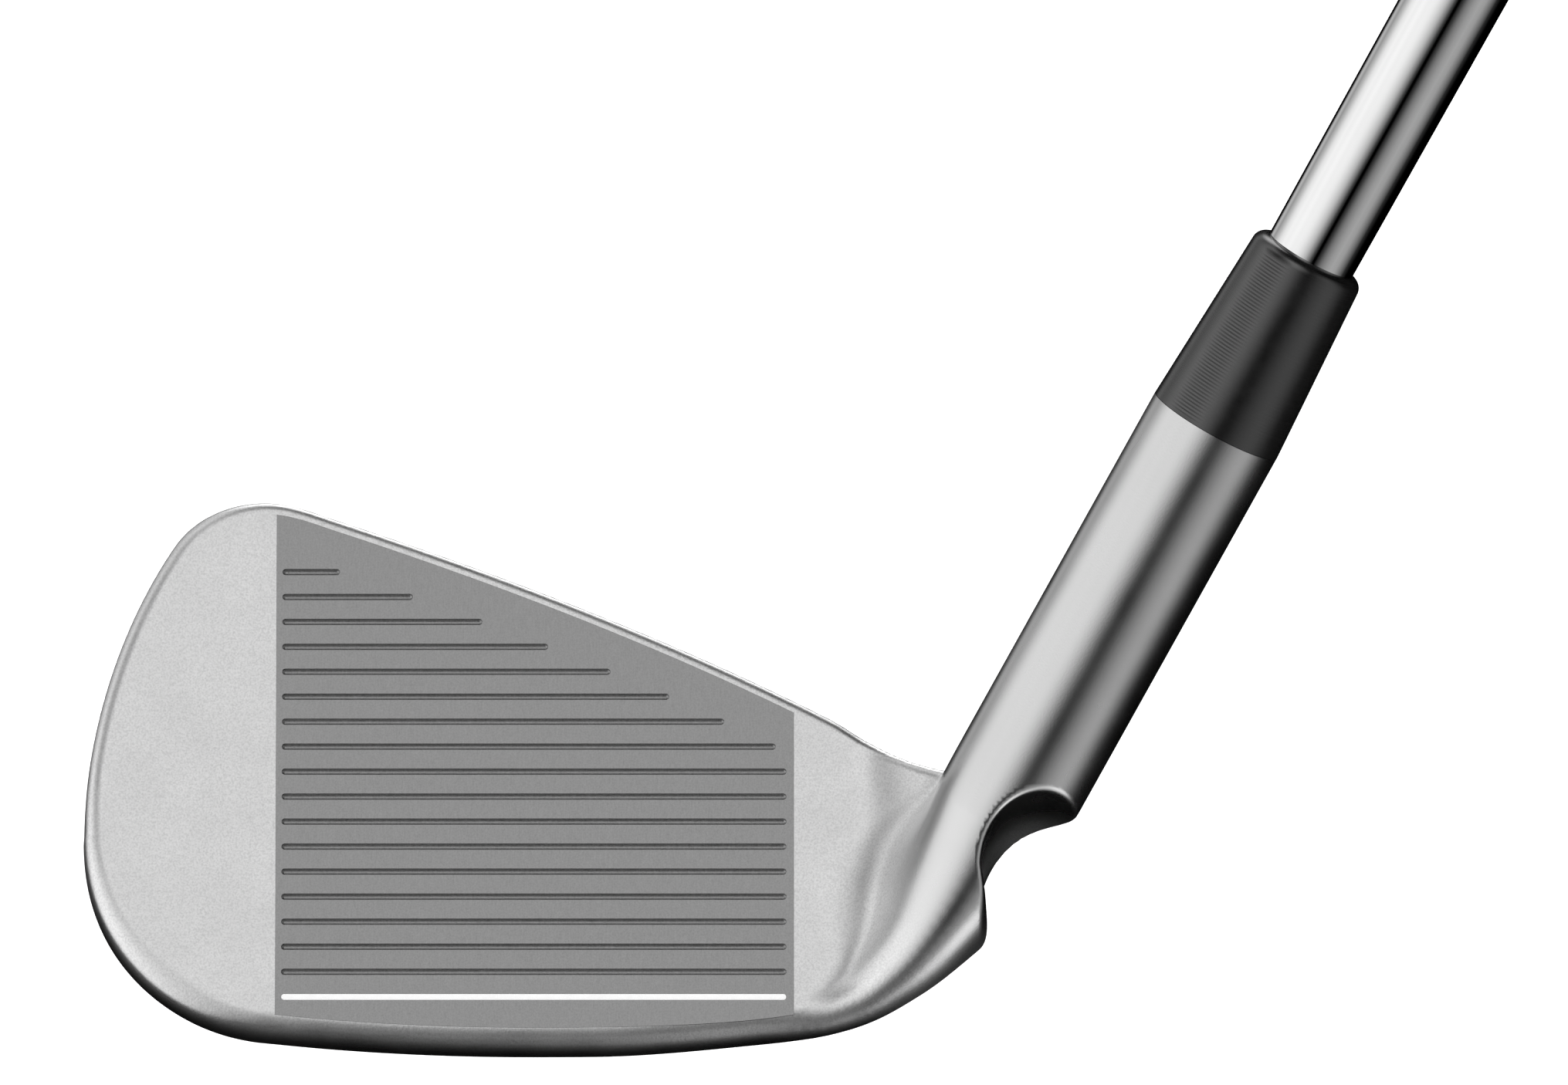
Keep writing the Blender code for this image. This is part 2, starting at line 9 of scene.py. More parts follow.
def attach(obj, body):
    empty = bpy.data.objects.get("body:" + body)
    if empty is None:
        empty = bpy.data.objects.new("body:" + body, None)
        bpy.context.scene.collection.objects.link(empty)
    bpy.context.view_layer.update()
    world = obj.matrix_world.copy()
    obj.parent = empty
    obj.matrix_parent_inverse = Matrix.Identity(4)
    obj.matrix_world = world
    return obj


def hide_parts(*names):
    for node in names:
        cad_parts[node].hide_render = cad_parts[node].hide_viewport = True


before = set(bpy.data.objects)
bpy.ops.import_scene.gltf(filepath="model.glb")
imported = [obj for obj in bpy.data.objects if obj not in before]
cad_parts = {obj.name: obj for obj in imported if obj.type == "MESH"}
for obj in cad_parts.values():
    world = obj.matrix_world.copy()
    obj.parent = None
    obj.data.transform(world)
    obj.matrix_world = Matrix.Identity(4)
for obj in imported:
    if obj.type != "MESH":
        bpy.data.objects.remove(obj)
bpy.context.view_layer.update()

# Iron golf club standing on its sole. Sizes are in millimetres until a mesh is made.
# x runs from toe to heel, w up the face, d straight back from the face.
mm = 0.001

club = {
    "lie": 61.4,
    "footX": 32.1,
    "footY": -5.9,
    "length": 965.0,
}

lieAngle = math.radians(club["lie"])
shaftAxis = Vector((math.cos(lieAngle), 0, math.sin(lieAngle)))
shaftFoot = Vector((club["footX"], club["footY"], 0))
# z of this matrix runs up the shaft from the ground
shaftPlace = Matrix.Translation(shaftFoot * mm) @ Matrix.Rotation(math.pi / 2 - lieAngle, 4, "Y")


def ease(t):
    t = np.clip(t, 0.0, 1.0)
    return t * t * (3 - 2 * t)


def easeMore(t):
    t = np.clip(t, 0.0, 1.0)
    return t * t * t * (t * (6 * t - 15) + 10)


def rise(x, start, end):
    return ease((x - start) / (end - start))


def mix(a, b, t):
    return a + (b - a) * t


def roundMax(a, b, r):
    # the overlap of two shapes, with an outside corner of radius r
    return np.minimum(-r, np.maximum(a, b)) + np.hypot(np.maximum(a + r, 0), np.maximum(b + r, 0))


def softMin(a, b, k):
    h = np.maximum(k - np.abs(a - b), 0) / k
    return np.minimum(a, b) - h * h * h * k / 6


def softMax(a, b, k):
    return -softMin(-a, -b, k)


def bezierSpan(span, steps):
    p = np.array(span, float)
    t = np.linspace(0, 1, steps + 1)[:, None]
    return (1 - t) ** 3 * p[0] + 3 * (1 - t) ** 2 * t * p[1] + 3 * (1 - t) * t ** 2 * p[2] + t ** 3 * p[3]


def heightTable(spans, steps=80):
    points = np.vstack([bezierSpan(span, steps) for span in spans])
    order = np.argsort(points[:, 0], kind="stable")
    return points[order, 0], points[order, 1]


def arcPoints(cx, cy, r, start, end, steps):
    t = np.radians(np.linspace(start, end, steps + 1))
    return np.column_stack([cx + r * np.cos(t), cy + r * np.sin(t)])


def smoothCurve(points, steps=16):
    # a curve through every point, with the slopes of its neighbours
    p = np.array(points, float)
    slope = np.gradient(p[:, 1], p[:, 0])
    xs = np.concatenate([np.linspace(a, b, steps, endpoint=False) for a, b in zip(p[:-1, 0], p[1:, 0])] + [p[-1:, 0]])
    i = np.clip(np.searchsorted(p[:, 0], xs, "right") - 1, 0, len(p) - 2)
    h = p[i + 1, 0] - p[i, 0]
    t = (xs - p[i, 0]) / h
    ys = ((2 * t ** 3 - 3 * t ** 2 + 1) * p[i, 1] + (t ** 3 - 2 * t ** 2 + t) * h * slope[i]
          + (3 * t ** 2 - 2 * t ** 3) * p[i + 1, 1] + (t ** 3 - t ** 2) * h * slope[i + 1])
    return xs, ys


class DistanceMap:
    # distance to a closed outline, negative inside, kept on a grid that is quick to read

    def __init__(self, outline, low, high, cell=0.25):
        self.low, self.cell = np.array(low, float), cell
        u = np.arange(low[0], high[0], cell)
        v = np.arange(low[1], high[1], cell)
        gu, gv = np.meshgrid(u, v, indexing="ij")
        best = np.full(gu.shape, 1e9)
        inside = np.zeros(gu.shape, bool)
        p = np.array(outline, float)
        for (ax, ay), (bx, by) in zip(p, np.roll(p, -1, 0)):
            ex, ey = bx - ax, by - ay
            long = ex * ex + ey * ey
            if long < 1e-12:
                continue
            t = np.clip(((gu - ax) * ex + (gv - ay) * ey) / long, 0, 1)
            best = np.minimum(best, (gu - ax - t * ex) ** 2 + (gv - ay - t * ey) ** 2)
            if ay != by:
                inside ^= ((gv < ay) != (gv < by)) & (gu < ax + (gv - ay) * ex / ey)
        self.values = np.where(inside, -np.sqrt(best), np.sqrt(best))
        # one light blur takes the corners of the outline's short sides away
        v = self.values
        v[1:-1] = (v[:-2] + 2 * v[1:-1] + v[2:]) / 4
        v[:, 1:-1] = (v[:, :-2] + 2 * v[:, 1:-1] + v[:, 2:]) / 4

    def __call__(self, x, y):
        v = self.values
        fx = np.clip((x - self.low[0]) / self.cell, 0, v.shape[0] - 1.001)
        fy = np.clip((y - self.low[1]) / self.cell, 0, v.shape[1] - 1.001)
        i, j = fx.astype(np.int32), fy.astype(np.int32)
        fx, fy = fx - i, fy - j
        return ((v[i, j] * (1 - fx) + v[i + 1, j] * fx) * (1 - fy)
                + (v[i, j + 1] * (1 - fx) + v[i + 1, j + 1] * fx) * fy)


def setMesh(name, verts, faces):
    mesh = bpy.data.meshes.new(name)
    mesh.from_pydata(verts.tolist(), [], faces.tolist())
    mesh.update()
    return mesh


def addObject(name, mesh):
    obj = bpy.data.objects.new(name, mesh)
    bpy.context.scene.collection.objects.link(obj)
    return obj


def bakeModifiers(obj, place=None):
    # the evaluated shape becomes a plain mesh, with its place in the mesh
    bpy.context.view_layer.update()
    graph = bpy.context.evaluated_depsgraph_get()
    mesh = bpy.data.meshes.new_from_object(obj.evaluated_get(graph))
    obj.modifiers.clear()
    obj.data = mesh
    if place:
        mesh.transform(place)
    return mesh


def sharpenEdges(mesh, angle=32):
    mesh.shade_smooth()
    mesh.set_sharp_from_angle(angle=math.radians(angle))


def prism(name, outline, low, high):
    # a flat outline in the face plane, between two depths behind the face
    n = len(outline)
    verts = [(x, w, -low) for x, w in outline] + [(x, w, -high) for x, w in outline]
    bm = bmesh.new()
    made = [bm.verts.new(Vector(v) * mm) for v in verts]
    bm.faces.new(made[:n])
    bm.faces.new(made[n:][::-1])
    for i in range(n):
        j = (i + 1) % n
        bm.faces.new((made[i], made[i + n], made[j + n], made[j]))
    bmesh.ops.recalc_face_normals(bm, faces=bm.faces)
    mesh = bpy.data.meshes.new(name)
    bm.to_mesh(mesh)
    bm.free()
    return mesh


def lathe(name, profile, sides=64):
    # a solid turned about z, from (radius, height) pairs that start and end on the axis or close on themselves
    bm = bmesh.new()
    rows = []
    for r, z in profile:
        if r < 1e-9:
            rows.append([bm.verts.new((0, 0, z * mm))] * sides)
        else:
            rows.append([bm.verts.new((r * mm * math.cos(2 * math.pi * i / sides),
                                       r * mm * math.sin(2 * math.pi * i / sides), z * mm)) for i in range(sides)])
    closed = profile[0][0] > 1e-9 or profile[-1][0] > 1e-9
    pairs = list(zip(rows, rows[1:])) + ([(rows[-1], rows[0])] if closed else [])
    for first, second in pairs:
        for i in range(sides):
            corners = (first[i], first[i - 1], second[i - 1], second[i])
            ring = list(dict.fromkeys(corners))
            if len(ring) > 2:
                bm.faces.new(ring)
    bmesh.ops.recalc_face_normals(bm, faces=bm.faces)
    mesh = bpy.data.meshes.new(name)
    bm.to_mesh(mesh)
    bm.free()
    return mesh


def cut(obj, cutterMesh, place):
    cutter = addObject("cutter", cutterMesh)
    cutterMesh.transform(place)
    modifier = obj.modifiers.new("cut", "BOOLEAN")
    modifier.operation = "DIFFERENCE"
    modifier.solver = "MANIFOLD"
    modifier.object = cutter
    bakeModifiers(obj)
    bpy.data.objects.remove(cutter, do_unlink=True)


head = {
    "loft": 26.0,
    "heelLoft": 19.0,
    "turnStart": 31.0,
    "turnEnd": 43.6,
    "footY": -11.0,
    "soleBottom": 2.82,
    "toplineRoll": 0.95,
    "toeRoll": 1.5,
    "leadingRoll": 0.55,
    "trailingRoll": 1.9,
    "toplineDepth": 6.2,
    "muscleDepth": 23.3,
    "muscleSlope": 0.5515,
    "ledgeBack": 4.0,
    "cavityRoll": 0.9,
    "notchRoll": 0.55,
    "tipRoll": 0.9,
    "valley": 10.0,
    "crotchValley": 3.0,
    "cell": 0.42,
    "letOut": 0.32,
    "heelLetOut": -0.12,
    "toeLetOut": 0.14,
    "backBlend": 6.0,
    "backSlant": 0.88,
    "top": (((-43.9, 23.9), (-43.9, 33.4), (-41.0, 44.6), (-35.2, 53.4)),
            ((-35.2, 53.4), (-33.55, 55.95), (-30.4, 57.7), (-26.6, 57.7)),
            ((-26.6, 57.7), (-24.1, 57.7), (-21.6, 56.6), (-19.5, 55.9)),
            ((-19.5, 55.9), (-2.1, 50.0), (16.4, 42.6), (33.0, 33.5)),
            ((33.0, 33.5), (35.6, 31.9), (38.0, 30.2), (43.5, 29.3))),
    "soleRise": (((-43.95, 21.08), (-43.95, 8.75), (-34.6, 2.53), (-27.0, 1.49)),
                 ((-27.0, 1.49), (-19.0, 0.55), (-10.0, 0.0), (0.0, 0.0)),
                 ((0.0, 0.0), (30.5, 0.0), (35.6, 2.3), (45.0, 12.3))),
    # how far the sole draws in at each depth behind the leading edge
    "soleIn": ((-3.0, 4.3), (-1.0, 2.45), (0.0, 1.46), (0.55, 0.95), (1.11, 0.53), (1.7, 0.25), (2.38, 0.07), (3.2, 0.0),
               (4.0, 0.02), (5.37, 0.31), (8.54, 1.345), (11.23, 2.66), (14.2, 4.55), (17.05, 6.72), (24.0, 12.8)),
}

hosel = {
    "radius": 6.8,
    "top": 72.5,
    "boreRadius": 4.73,
    "boreDepth": 33.0,
    # x, z, y, half height and half width of the bend that runs from the hosel into the leading edge
    "bend": ((45.5, 24.6, -5.9, 6.8, 6.8), (41.6, 17.5, -5.8, 5.7, 6.4), (37.9, 12.1, -5.5, 4.5, 5.6),
             (34.6, 8.7, -5.2, 3.6, 4.8), (31.4, 6.4, -4.9, 2.9, 4.1), (27.0, 4.8, -4.7, 2.5, 3.6),
             (20.0, 4.2, -4.4, 2.2, 3.2), (13.0, 4.2, -4.0, 2.0, 2.8)),
    # how far apart two spans of the bend may be and still share
    "merge": 0.5,
    "notchX": 50.1,
    "notchW": 18.55,
    "notchRadius": 6.3,
    "notchTilt": 4.0,
    "notchTurn": 12.0,
}

facePlate = {
    "halfWidth": 25.46,
    "thickness": 2.4,
    "bottom": 4.5,
    "topLip": 1.0,
    "lineCount": 18,
    "linePitch": 2.54,
    "lowestLine": 7.6,
    "lineToe": -24.9,
    "lineHeel": 24.75,
    "topMargin": 5.1,
    "lineWidth": 0.66,
    "lineDepth": 0.36,
    "gap": 0.015,
}

facePlace = Matrix.Translation((0, head["footY"] * mm, 0)) @ Matrix.Rotation(
    math.pi / 2 - math.radians(head["loft"]), 4, "X")

topX, topW = heightTable(head["top"])
riseX, riseW = heightTable(head["soleRise"])
soleD, soleInward = smoothCurve(head["soleIn"])
soleSlope = np.gradient(soleInward, soleD)


def topLine(x):
    return np.interp(x, topX, topW)


def headOutline():
    top = np.vstack([bezierSpan(span, 70) for span in head["top"]])
    rise = np.vstack([bezierSpan(span, 90) for span in head["soleRise"]])
    rise[:, 1] += head["soleBottom"]
    rise = rise[rise[:, 0] < 43.4]
    return np.vstack([top[::-1], rise])


def plateOutline(grow):
    half = facePlate["halfWidth"] + grow
    xs = np.linspace(-half, half, 40)
    bottom = np.column_stack([xs, facePlate["bottom"] + np.interp(xs, riseX, riseW) - grow])
    top = np.column_stack([xs, topLine(xs) - facePlate["topLip"] + grow])[::-1]
    return np.vstack([bottom, top])


def cavityOutline():
    toe, heel, bottom = -37.4, 25.5, 22.0
    sweep, corner = 14.0, 3.0
    xs = np.linspace(heel, -33.0, 60)
    top = np.column_stack([xs, topLine(xs) - 5.6])
    return np.vstack([
        arcPoints(toe + sweep, bottom + sweep, sweep, 180, 270, 30),
        arcPoints(heel - corner, bottom + corner, corner, 270, 360, 12),
        top,
        [(toe + 1.9, 43.2), (toe + 0.6, 40.0)],
    ])


def notchOutline():
    dome = arcPoints(hosel["notchX"], hosel["notchW"], hosel["notchRadius"], 54, 180, 40)
    wall = smoothCurve([(2.0, 46.5), (6.0, 45.9), (10.5, 45.1), (13.4, 44.6), (16.5, 44.2)], 8)
    down = np.column_stack([wall[1], wall[0]])[::-1]
    return np.vstack([dome, down, [(80.0, 2.0), (80.0, 24.0)]])


outlineMap = DistanceMap(headOutline(), (-50, -4), (80, 64))
cavityMap = DistanceMap(cavityOutline(), (-50, -4), (80, 64))
notchMap = DistanceMap(notchOutline(), (20, -8), (90, 64))
print("outlines measured")


def faceFrame(x, y, z, loft):
    angle = np.radians(loft)
    s, c = np.sin(angle), np.cos(angle)
    back = y - head["footY"]
    return back * s + z * c, back * c - z * s


def depthShare(x):
    # the body gets thinner towards both ends
    toe = 1 - 0.62 * rise(-x, 22, 44)
    heel = 1 - 0.72 * rise(x, 18, 42)
    return np.where(x < 0, toe, heel)


def bladeField(x, y, z):
    loft = mix(head["loft"], head["heelLoft"], easeMore((x - head["turnStart"]) / (head["turnEnd"] - head["turnStart"])))
    w, d = faceFrame(x, y, z, loft)
    under = 1 - rise(w, 8, 32)
    # the whole outline is let out a little, less under the heel and more at the toe
    grow = mix(head["letOut"], head["heelLetOut"], under * rise(x, 6, 22)) + head["toeLetOut"] * rise(-x, 24, 34)
    out = outlineMap(x, w) - grow * (1 - rise(x, 29, 33))
    inward = under * np.interp(d, soleD, soleInward)
    rim = (out + inward) / np.sqrt(1 + (under * np.interp(d, soleD, soleSlope)) ** 2)
    roll = mix(head["toplineRoll"], head["toeRoll"], rise(-x, 24, 34))
    roll = mix(roll, head["leadingRoll"], under * (1 - 0.75 * rise(-x, 26, 38)))
    front = roundMax(rim, -d, roll)
    share = depthShare(x)
    low = np.interp(x, riseX, riseW) + head["soleBottom"]
    muscle = (head["muscleDepth"] - head["muscleSlope"] * (w - low)) * share
    thin = head["toplineDepth"] * mix(1.0, share, 0.5) + 0.05 * (topLine(x) - w)
    back = (d - softMax(muscle, thin, head["backBlend"])) * head["backSlant"]
    blade = roundMax(front, back, head["trailingRoll"])
    w0, d0 = faceFrame(x, y, z, head["loft"])
    cavity = roundMax(cavityMap(x, w0), head["ledgeBack"] - d0, 0.3)
    # the notch is cut a little steeper than the face stands
    notchW = w0 + (d0 + hosel["notchTurn"]) * math.tan(math.radians(hosel["notchTilt"]))
    return roundMax(blade, -cavity, head["cavityRoll"]), w0, notchW


def bendRows(steps=5):
    # even rows along the bend, eased through its given places
    given = np.array(hosel["bend"])
    given = np.vstack([given[0] + [*(60 * np.array([shaftAxis.x, shaftAxis.z])), 0, 0, 0], given])
    slope = np.gradient(given, axis=0)
    slope[1] = (given[2] - given[1]) * 0.95
    rows = [given[0]]
    for i in range(1, len(given) - 1):
        for t in np.arange(steps) / steps:
            rows.append((2 * t ** 3 - 3 * t ** 2 + 1) * given[i] + (t ** 3 - 2 * t ** 2 + t) * slope[i]
                        + (3 * t ** 2 - 2 * t ** 3) * given[i + 1] + (t ** 3 - t ** 2) * slope[i + 1])
    return np.vstack(rows + [given[-1]])


bend = bendRows()


def tubeField(x, y, z):
    # the hosel runs straight down its axis, then bends into the heel and thins into the leading edge
    def reach(a, b):
        ex, ez = b[0] - a[0], b[1] - a[1]
        t = np.clip(((x - a[0]) * ex + (z - a[1]) * ez) / (ex * ex + ez * ez), 0, 1)
        return t, np.hypot(x - a[0] - t * ex, z - a[1] - t * ez)

    best = np.full(x.shape, 1e9)
    for a, b in zip(bend, bend[1:]):
        best = np.minimum(best, reach(a, b)[1])
    # spans about equally near share in the tube's place and size, so that nothing jumps inside the bend
    total, side, high, wide = 0.0, 0.0, 0.0, 0.0
    for a, b in zip(bend, bend[1:]):
        t, gap = reach(a, b)
        share = np.exp((best - gap) / hosel["merge"])
        total = total + share
        side = side + share * mix(a[2], b[2], t)
        high = high + share * mix(a[3], b[3], t)
        wide = wide + share * mix(a[4], b[4], t)
    side, high, wide = y - side / total, high / total, wide / total
    k1 = np.sqrt(best ** 2 / high ** 2 + side ** 2 / wide ** 2)
    k2 = np.sqrt(best ** 2 / high ** 4 + side ** 2 / wide ** 4)
    tube = k1 * (k1 - 1) / np.maximum(k2, 1e-6)
    upShaft = (x - club["footX"]) * shaftAxis.x + z * shaftAxis.z
    return np.maximum(tube, upShaft - hosel["top"] - 1.1)


def headField(x, y, z):
    blade, w0, notchW = bladeField(x, y, z)
    tube = tubeField(x, y, z)
    valley = mix(1.2, head["valley"], rise(w0, 8, 20))
    valley = mix(valley, head["crotchValley"], rise(w0, 21, 30))
    body = softMin(blade, tube, valley)
    edge = mix(head["tipRoll"], head["notchRoll"], rise(notchW, 14, 17))
    return roundMax(body, -notchMap(x, notchW), edge)


def slopeOfField(p, step=0.08):
    found = np.empty_like(p)
    for axis in range(3):
        ahead, behind = p.copy(), p.copy()
        ahead[:, axis] += step
        behind[:, axis] -= step
        found[:, axis] = (headField(*ahead.T) - headField(*behind.T)) / (2 * step)
    return found


def meshField(low, high, cell):
    # a net of quads over the zero surface of the field, drawn onto it exactly
    axes = [np.arange(a, b + cell, cell) for a, b in zip(low, high)]
    field = np.empty([len(a) for a in axes])
    gy, gz = np.meshgrid(axes[1], axes[2], indexing="ij")
    for start in range(0, len(axes[0]), 16):
        xs = axes[0][start:start + 16]
        x, y, z = np.broadcast_arrays(xs[:, None, None], gy[None], gz[None])
        field[start:start + 16] = headField(x, y, z)
    inside = field < 0
    nx, ny, nz = (n - 1 for n in field.shape)
    total = sum(inside[i:nx + i, j:ny + j, k:nz + k].astype(np.int8) for i in (0, 1) for j in (0, 1) for k in (0, 1))
    mixed = (total > 0) & (total < 8)
    number = np.full(mixed.shape, -1, np.int64)
    cells = np.argwhere(mixed)
    number[mixed] = np.arange(len(cells))
    place = np.zeros((len(cells), 3))
    hits = np.zeros(len(cells))
    for axis in range(3):
        step = np.eye(3, dtype=int)[axis]
        others = [k for k in range(3) if k != axis]
        for a in (0, 1):
            for b in (0, 1):
                corner = np.zeros(3, int)
                corner[others[0]], corner[others[1]] = a, b
                one = field[tuple((cells + corner).T)]
                two = field[tuple((cells + corner + step).T)]
                crossing = (one < 0) != (two < 0)
                t = np.where(crossing, one / np.where(crossing, one - two, 1), 0)
                place[crossing] += (corner + t[:, None] * step)[crossing]
                hits += crossing
    points = np.array(low) + (cells + place / hits[:, None]) * cell
    quads = []
    for axis in range(3):
        b, c = (axis + 1) % 3, (axis + 2) % 3
        one = np.moveaxis(inside, (axis, b, c), (0, 1, 2))
        cellNumber = np.moveaxis(number, (axis, b, c), (0, 1, 2))
        change = one[:-1, 1:-1, 1:-1] != one[1:, 1:-1, 1:-1]
        i, j, k = np.argwhere(change).T
        outwards = one[i, j + 1, k + 1]
        corners = np.column_stack([cellNumber[i, j, k], cellNumber[i, j + 1, k],
                                   cellNumber[i, j + 1, k + 1], cellNumber[i, j, k + 1]])
        corners[~outwards] = corners[~outwards, ::-1]
        quads.append(corners)
    quads = np.vstack(quads)
    for _ in range(5):
        slope = slopeOfField(points)
        value = headField(*points.T)
        long = np.maximum((slope ** 2).sum(1), 0.05)
        move = (value / long)[:, None] * slope
        far = np.linalg.norm(move, axis=1, keepdims=True)
        points -= move * np.minimum(1, 0.3 * cell / np.maximum(far, 1e-9))
    return points, quads


def addWeightPorts(obj):
    for place, radius, length in weightPlaces:
        profile = [(0, 12), (radius + 0.95, 12), (radius + 0.95, 0.55), (radius + 0.05, -0.35),
                   (radius + 0.05, -length - 0.05), (0, -length - 0.05)]
        cut(obj, lathe("port", profile, 56), place)


def weightPlace(x, w, d, tilt):
    return facePlace @ Matrix.Translation(Vector((x, w, -d)) * mm) @ Matrix.Rotation(math.pi + tilt, 4, "X")


muscleTilt = math.atan2(17.57 - 11.9, 20.7 - 10.42)
weightPlaces = (
    (weightPlace(0.0, 16.6, 15.55, muscleTilt), 4.6, 6.0),
    (weightPlace(-31.0, 20.3, 11.3, muscleTilt * 0.8), 3.6, 7.0),
)


def shadeFromField(mesh):
    # the turned and milled cuts keep their own flat shading, the rest takes the field's exact slope
    count = len(mesh.vertices)
    points = np.empty(count * 3)
    mesh.vertices.foreach_get("co", points)
    points = points.reshape(-1, 3) / mm
    value = headField(*points.T)
    slope = slopeOfField(points)
    slope /= np.maximum(np.linalg.norm(slope, axis=1, keepdims=True), 1e-9)
    loops = np.empty(len(mesh.loops), np.int32)
    mesh.loops.foreach_get("vertex_index", loops)
    faceOf = np.repeat(np.arange(len(mesh.polygons)), [p.loop_total for p in mesh.polygons])
    normals = np.empty(len(mesh.polygons) * 3)
    mesh.polygons.foreach_get("normal", normals)
    flat = normals.reshape(-1, 3)[faceOf]
    smooth = slope[loops]
    good = ((flat * smooth).sum(1) > 0.72) & (np.abs(value[loops]) < 0.06)
    mesh.shade_smooth()
    mesh.normals_split_custom_set(np.where(good[:, None], smooth, flat).tolist())


def buildHead():
    points, quads = meshField((-46.5, -14.5, -2.5), (75.5, 22.5, 69.5), head["cell"])
    obj = addObject("ForgedHead", setMesh("ForgedHead", points * mm, quads))
    top, bore, depth = hosel["top"], hosel["boreRadius"], hosel["boreDepth"]
    # faces the hosel's end off and bores it, with a small chamfer
    trim = [(0, top + 12), (12, top + 12), (12, top), (bore + 0.25, top), (bore, top - 0.3), (bore, top - depth - 1),
            (0, top - depth - 2.5)]
    cut(obj, lathe("bore", trim, 96), shaftPlace)
    cut(obj, prism("pocket", plateOutline(facePlate["gap"]), -3.0, facePlate["thickness"] + facePlate["gap"]), facePlace)
    cut(obj, prism("window", windowOutline(), 1.0, 6.0), facePlace)
    addWeightPorts(obj)
    shadeFromField(obj.data)
    return obj


def windowOutline():
    xs = np.linspace(22.0, -22.0, 12)
    top = np.column_stack([xs, topLine(xs) - 7.1])
    return np.vstack([[(-22.0, 23.5), (22.0, 23.5)], top])


def newTree(name, sockets):
    tree = bpy.data.node_groups.new(name, "GeometryNodeTree")
    tree.interface.new_socket("Geometry", in_out="INPUT", socket_type="NodeSocketGeometry")
    kinds = {int: "NodeSocketInt", float: "NodeSocketFloat"}
    for label, value in sockets.items():
        made = tree.interface.new_socket(label, in_out="INPUT", socket_type=kinds[type(value)])
        made.default_value = value
    tree.interface.new_socket("Geometry", in_out="OUTPUT", socket_type="NodeSocketGeometry")
    return tree, tree.nodes.new("NodeGroupInput"), tree.nodes.new("NodeGroupOutput")


def node(tree, kind, inputs=None, **settings):
    made = tree.nodes.new(kind)
    for key, value in settings.items():
        setattr(made, key, value)
    for key, value in (inputs or {}).items():
        socket = made.inputs[key]
        if isinstance(value, bpy.types.NodeSocket):
            tree.links.new(value, socket)
        else:
            socket.default_value = value
    return made


def calc(tree, operation, *values):
    return node(tree, "ShaderNodeMath", dict(enumerate(values)), operation=operation).outputs[0]


def plus(tree, a, b):
    return calc(tree, "ADD", a, b)


def minus(tree, a, b):
    return calc(tree, "SUBTRACT", a, b)


def times(tree, a, b):
    return calc(tree, "MULTIPLY", a, b)


def dot(tree, vector, towards):
    return node(tree, "ShaderNodeVectorMath", {0: vector, 1: tuple(towards)}, operation="DOT_PRODUCT").outputs["Value"]


def remap(tree, value, low, high, toLow=0.0, toHigh=1.0, smooth=False):
    inputs = {"Value": value, "From Min": low, "From Max": high, "To Min": toLow, "To Max": toHigh}
    return node(tree, "ShaderNodeMapRange", inputs, interpolation_type="SMOOTHSTEP" if smooth else "LINEAR").outputs[0]


def runTree(obj, tree, values):
    modifier = obj.modifiers.new("tree", "NODES")
    modifier.node_group = tree
    for item in tree.interface.items_tree:
        if item.item_type == "SOCKET" and item.in_out == "INPUT" and item.name in values:
            modifier[item.identifier] = values[item.name]


def turnTree(name, material, extra, radiusRule):
    # turns the profile it is given (radius in x, height in z) and lets a rule change each radius
    tree, given, end = newTree(name, {"Sides": 64, **extra})
    profile = given.outputs["Geometry"]
    rows = node(tree, "GeometryNodeAttributeDomainSize", {"Geometry": profile}).outputs["Point Count"]
    columns = plus(tree, given.outputs["Sides"], 1.0)
    grid = node(tree, "GeometryNodeMeshGrid", {"Vertices X": columns, "Vertices Y": rows})
    index = node(tree, "GeometryNodeInputIndex").outputs[0]
    column = calc(tree, "FLOOR", calc(tree, "DIVIDE", plus(tree, index, 0.5), rows))
    row = minus(tree, index, times(tree, column, rows))
    position = node(tree, "GeometryNodeInputPosition").outputs[0]
    sample = node(tree, "GeometryNodeSampleIndex", {"Geometry": profile, "Value": position, "Index": row},
                  data_type="FLOAT_VECTOR")
    parts = node(tree, "ShaderNodeSeparateXYZ", {0: sample.outputs[0]})
    angle = calc(tree, "DIVIDE", times(tree, column, 2 * math.pi), given.outputs["Sides"])
    radius = radiusRule(tree, given, parts.outputs["X"], parts.outputs["Z"], angle)
    x = times(tree, radius, calc(tree, "COSINE", angle))
    y = times(tree, radius, calc(tree, "SINE", angle))
    spot = node(tree, "ShaderNodeCombineXYZ", {"X": x, "Y": y, "Z": parts.outputs["Z"]}).outputs[0]
    placed = node(tree, "GeometryNodeSetPosition", {"Geometry": grid.outputs["Mesh"], "Position": spot})
    merged = node(tree, "GeometryNodeMergeByDistance", {"Geometry": placed.outputs[0], "Distance": 1e-6})
    real = node(tree, "GeometryNodeRealizeInstances", {"Geometry": merged.outputs[0]})
    finish = node(tree, "GeometryNodeSetMaterial", {"Geometry": real.outputs[0], "Material": material})
    tree.links.new(finish.outputs[0], end.inputs[0])
    return tree


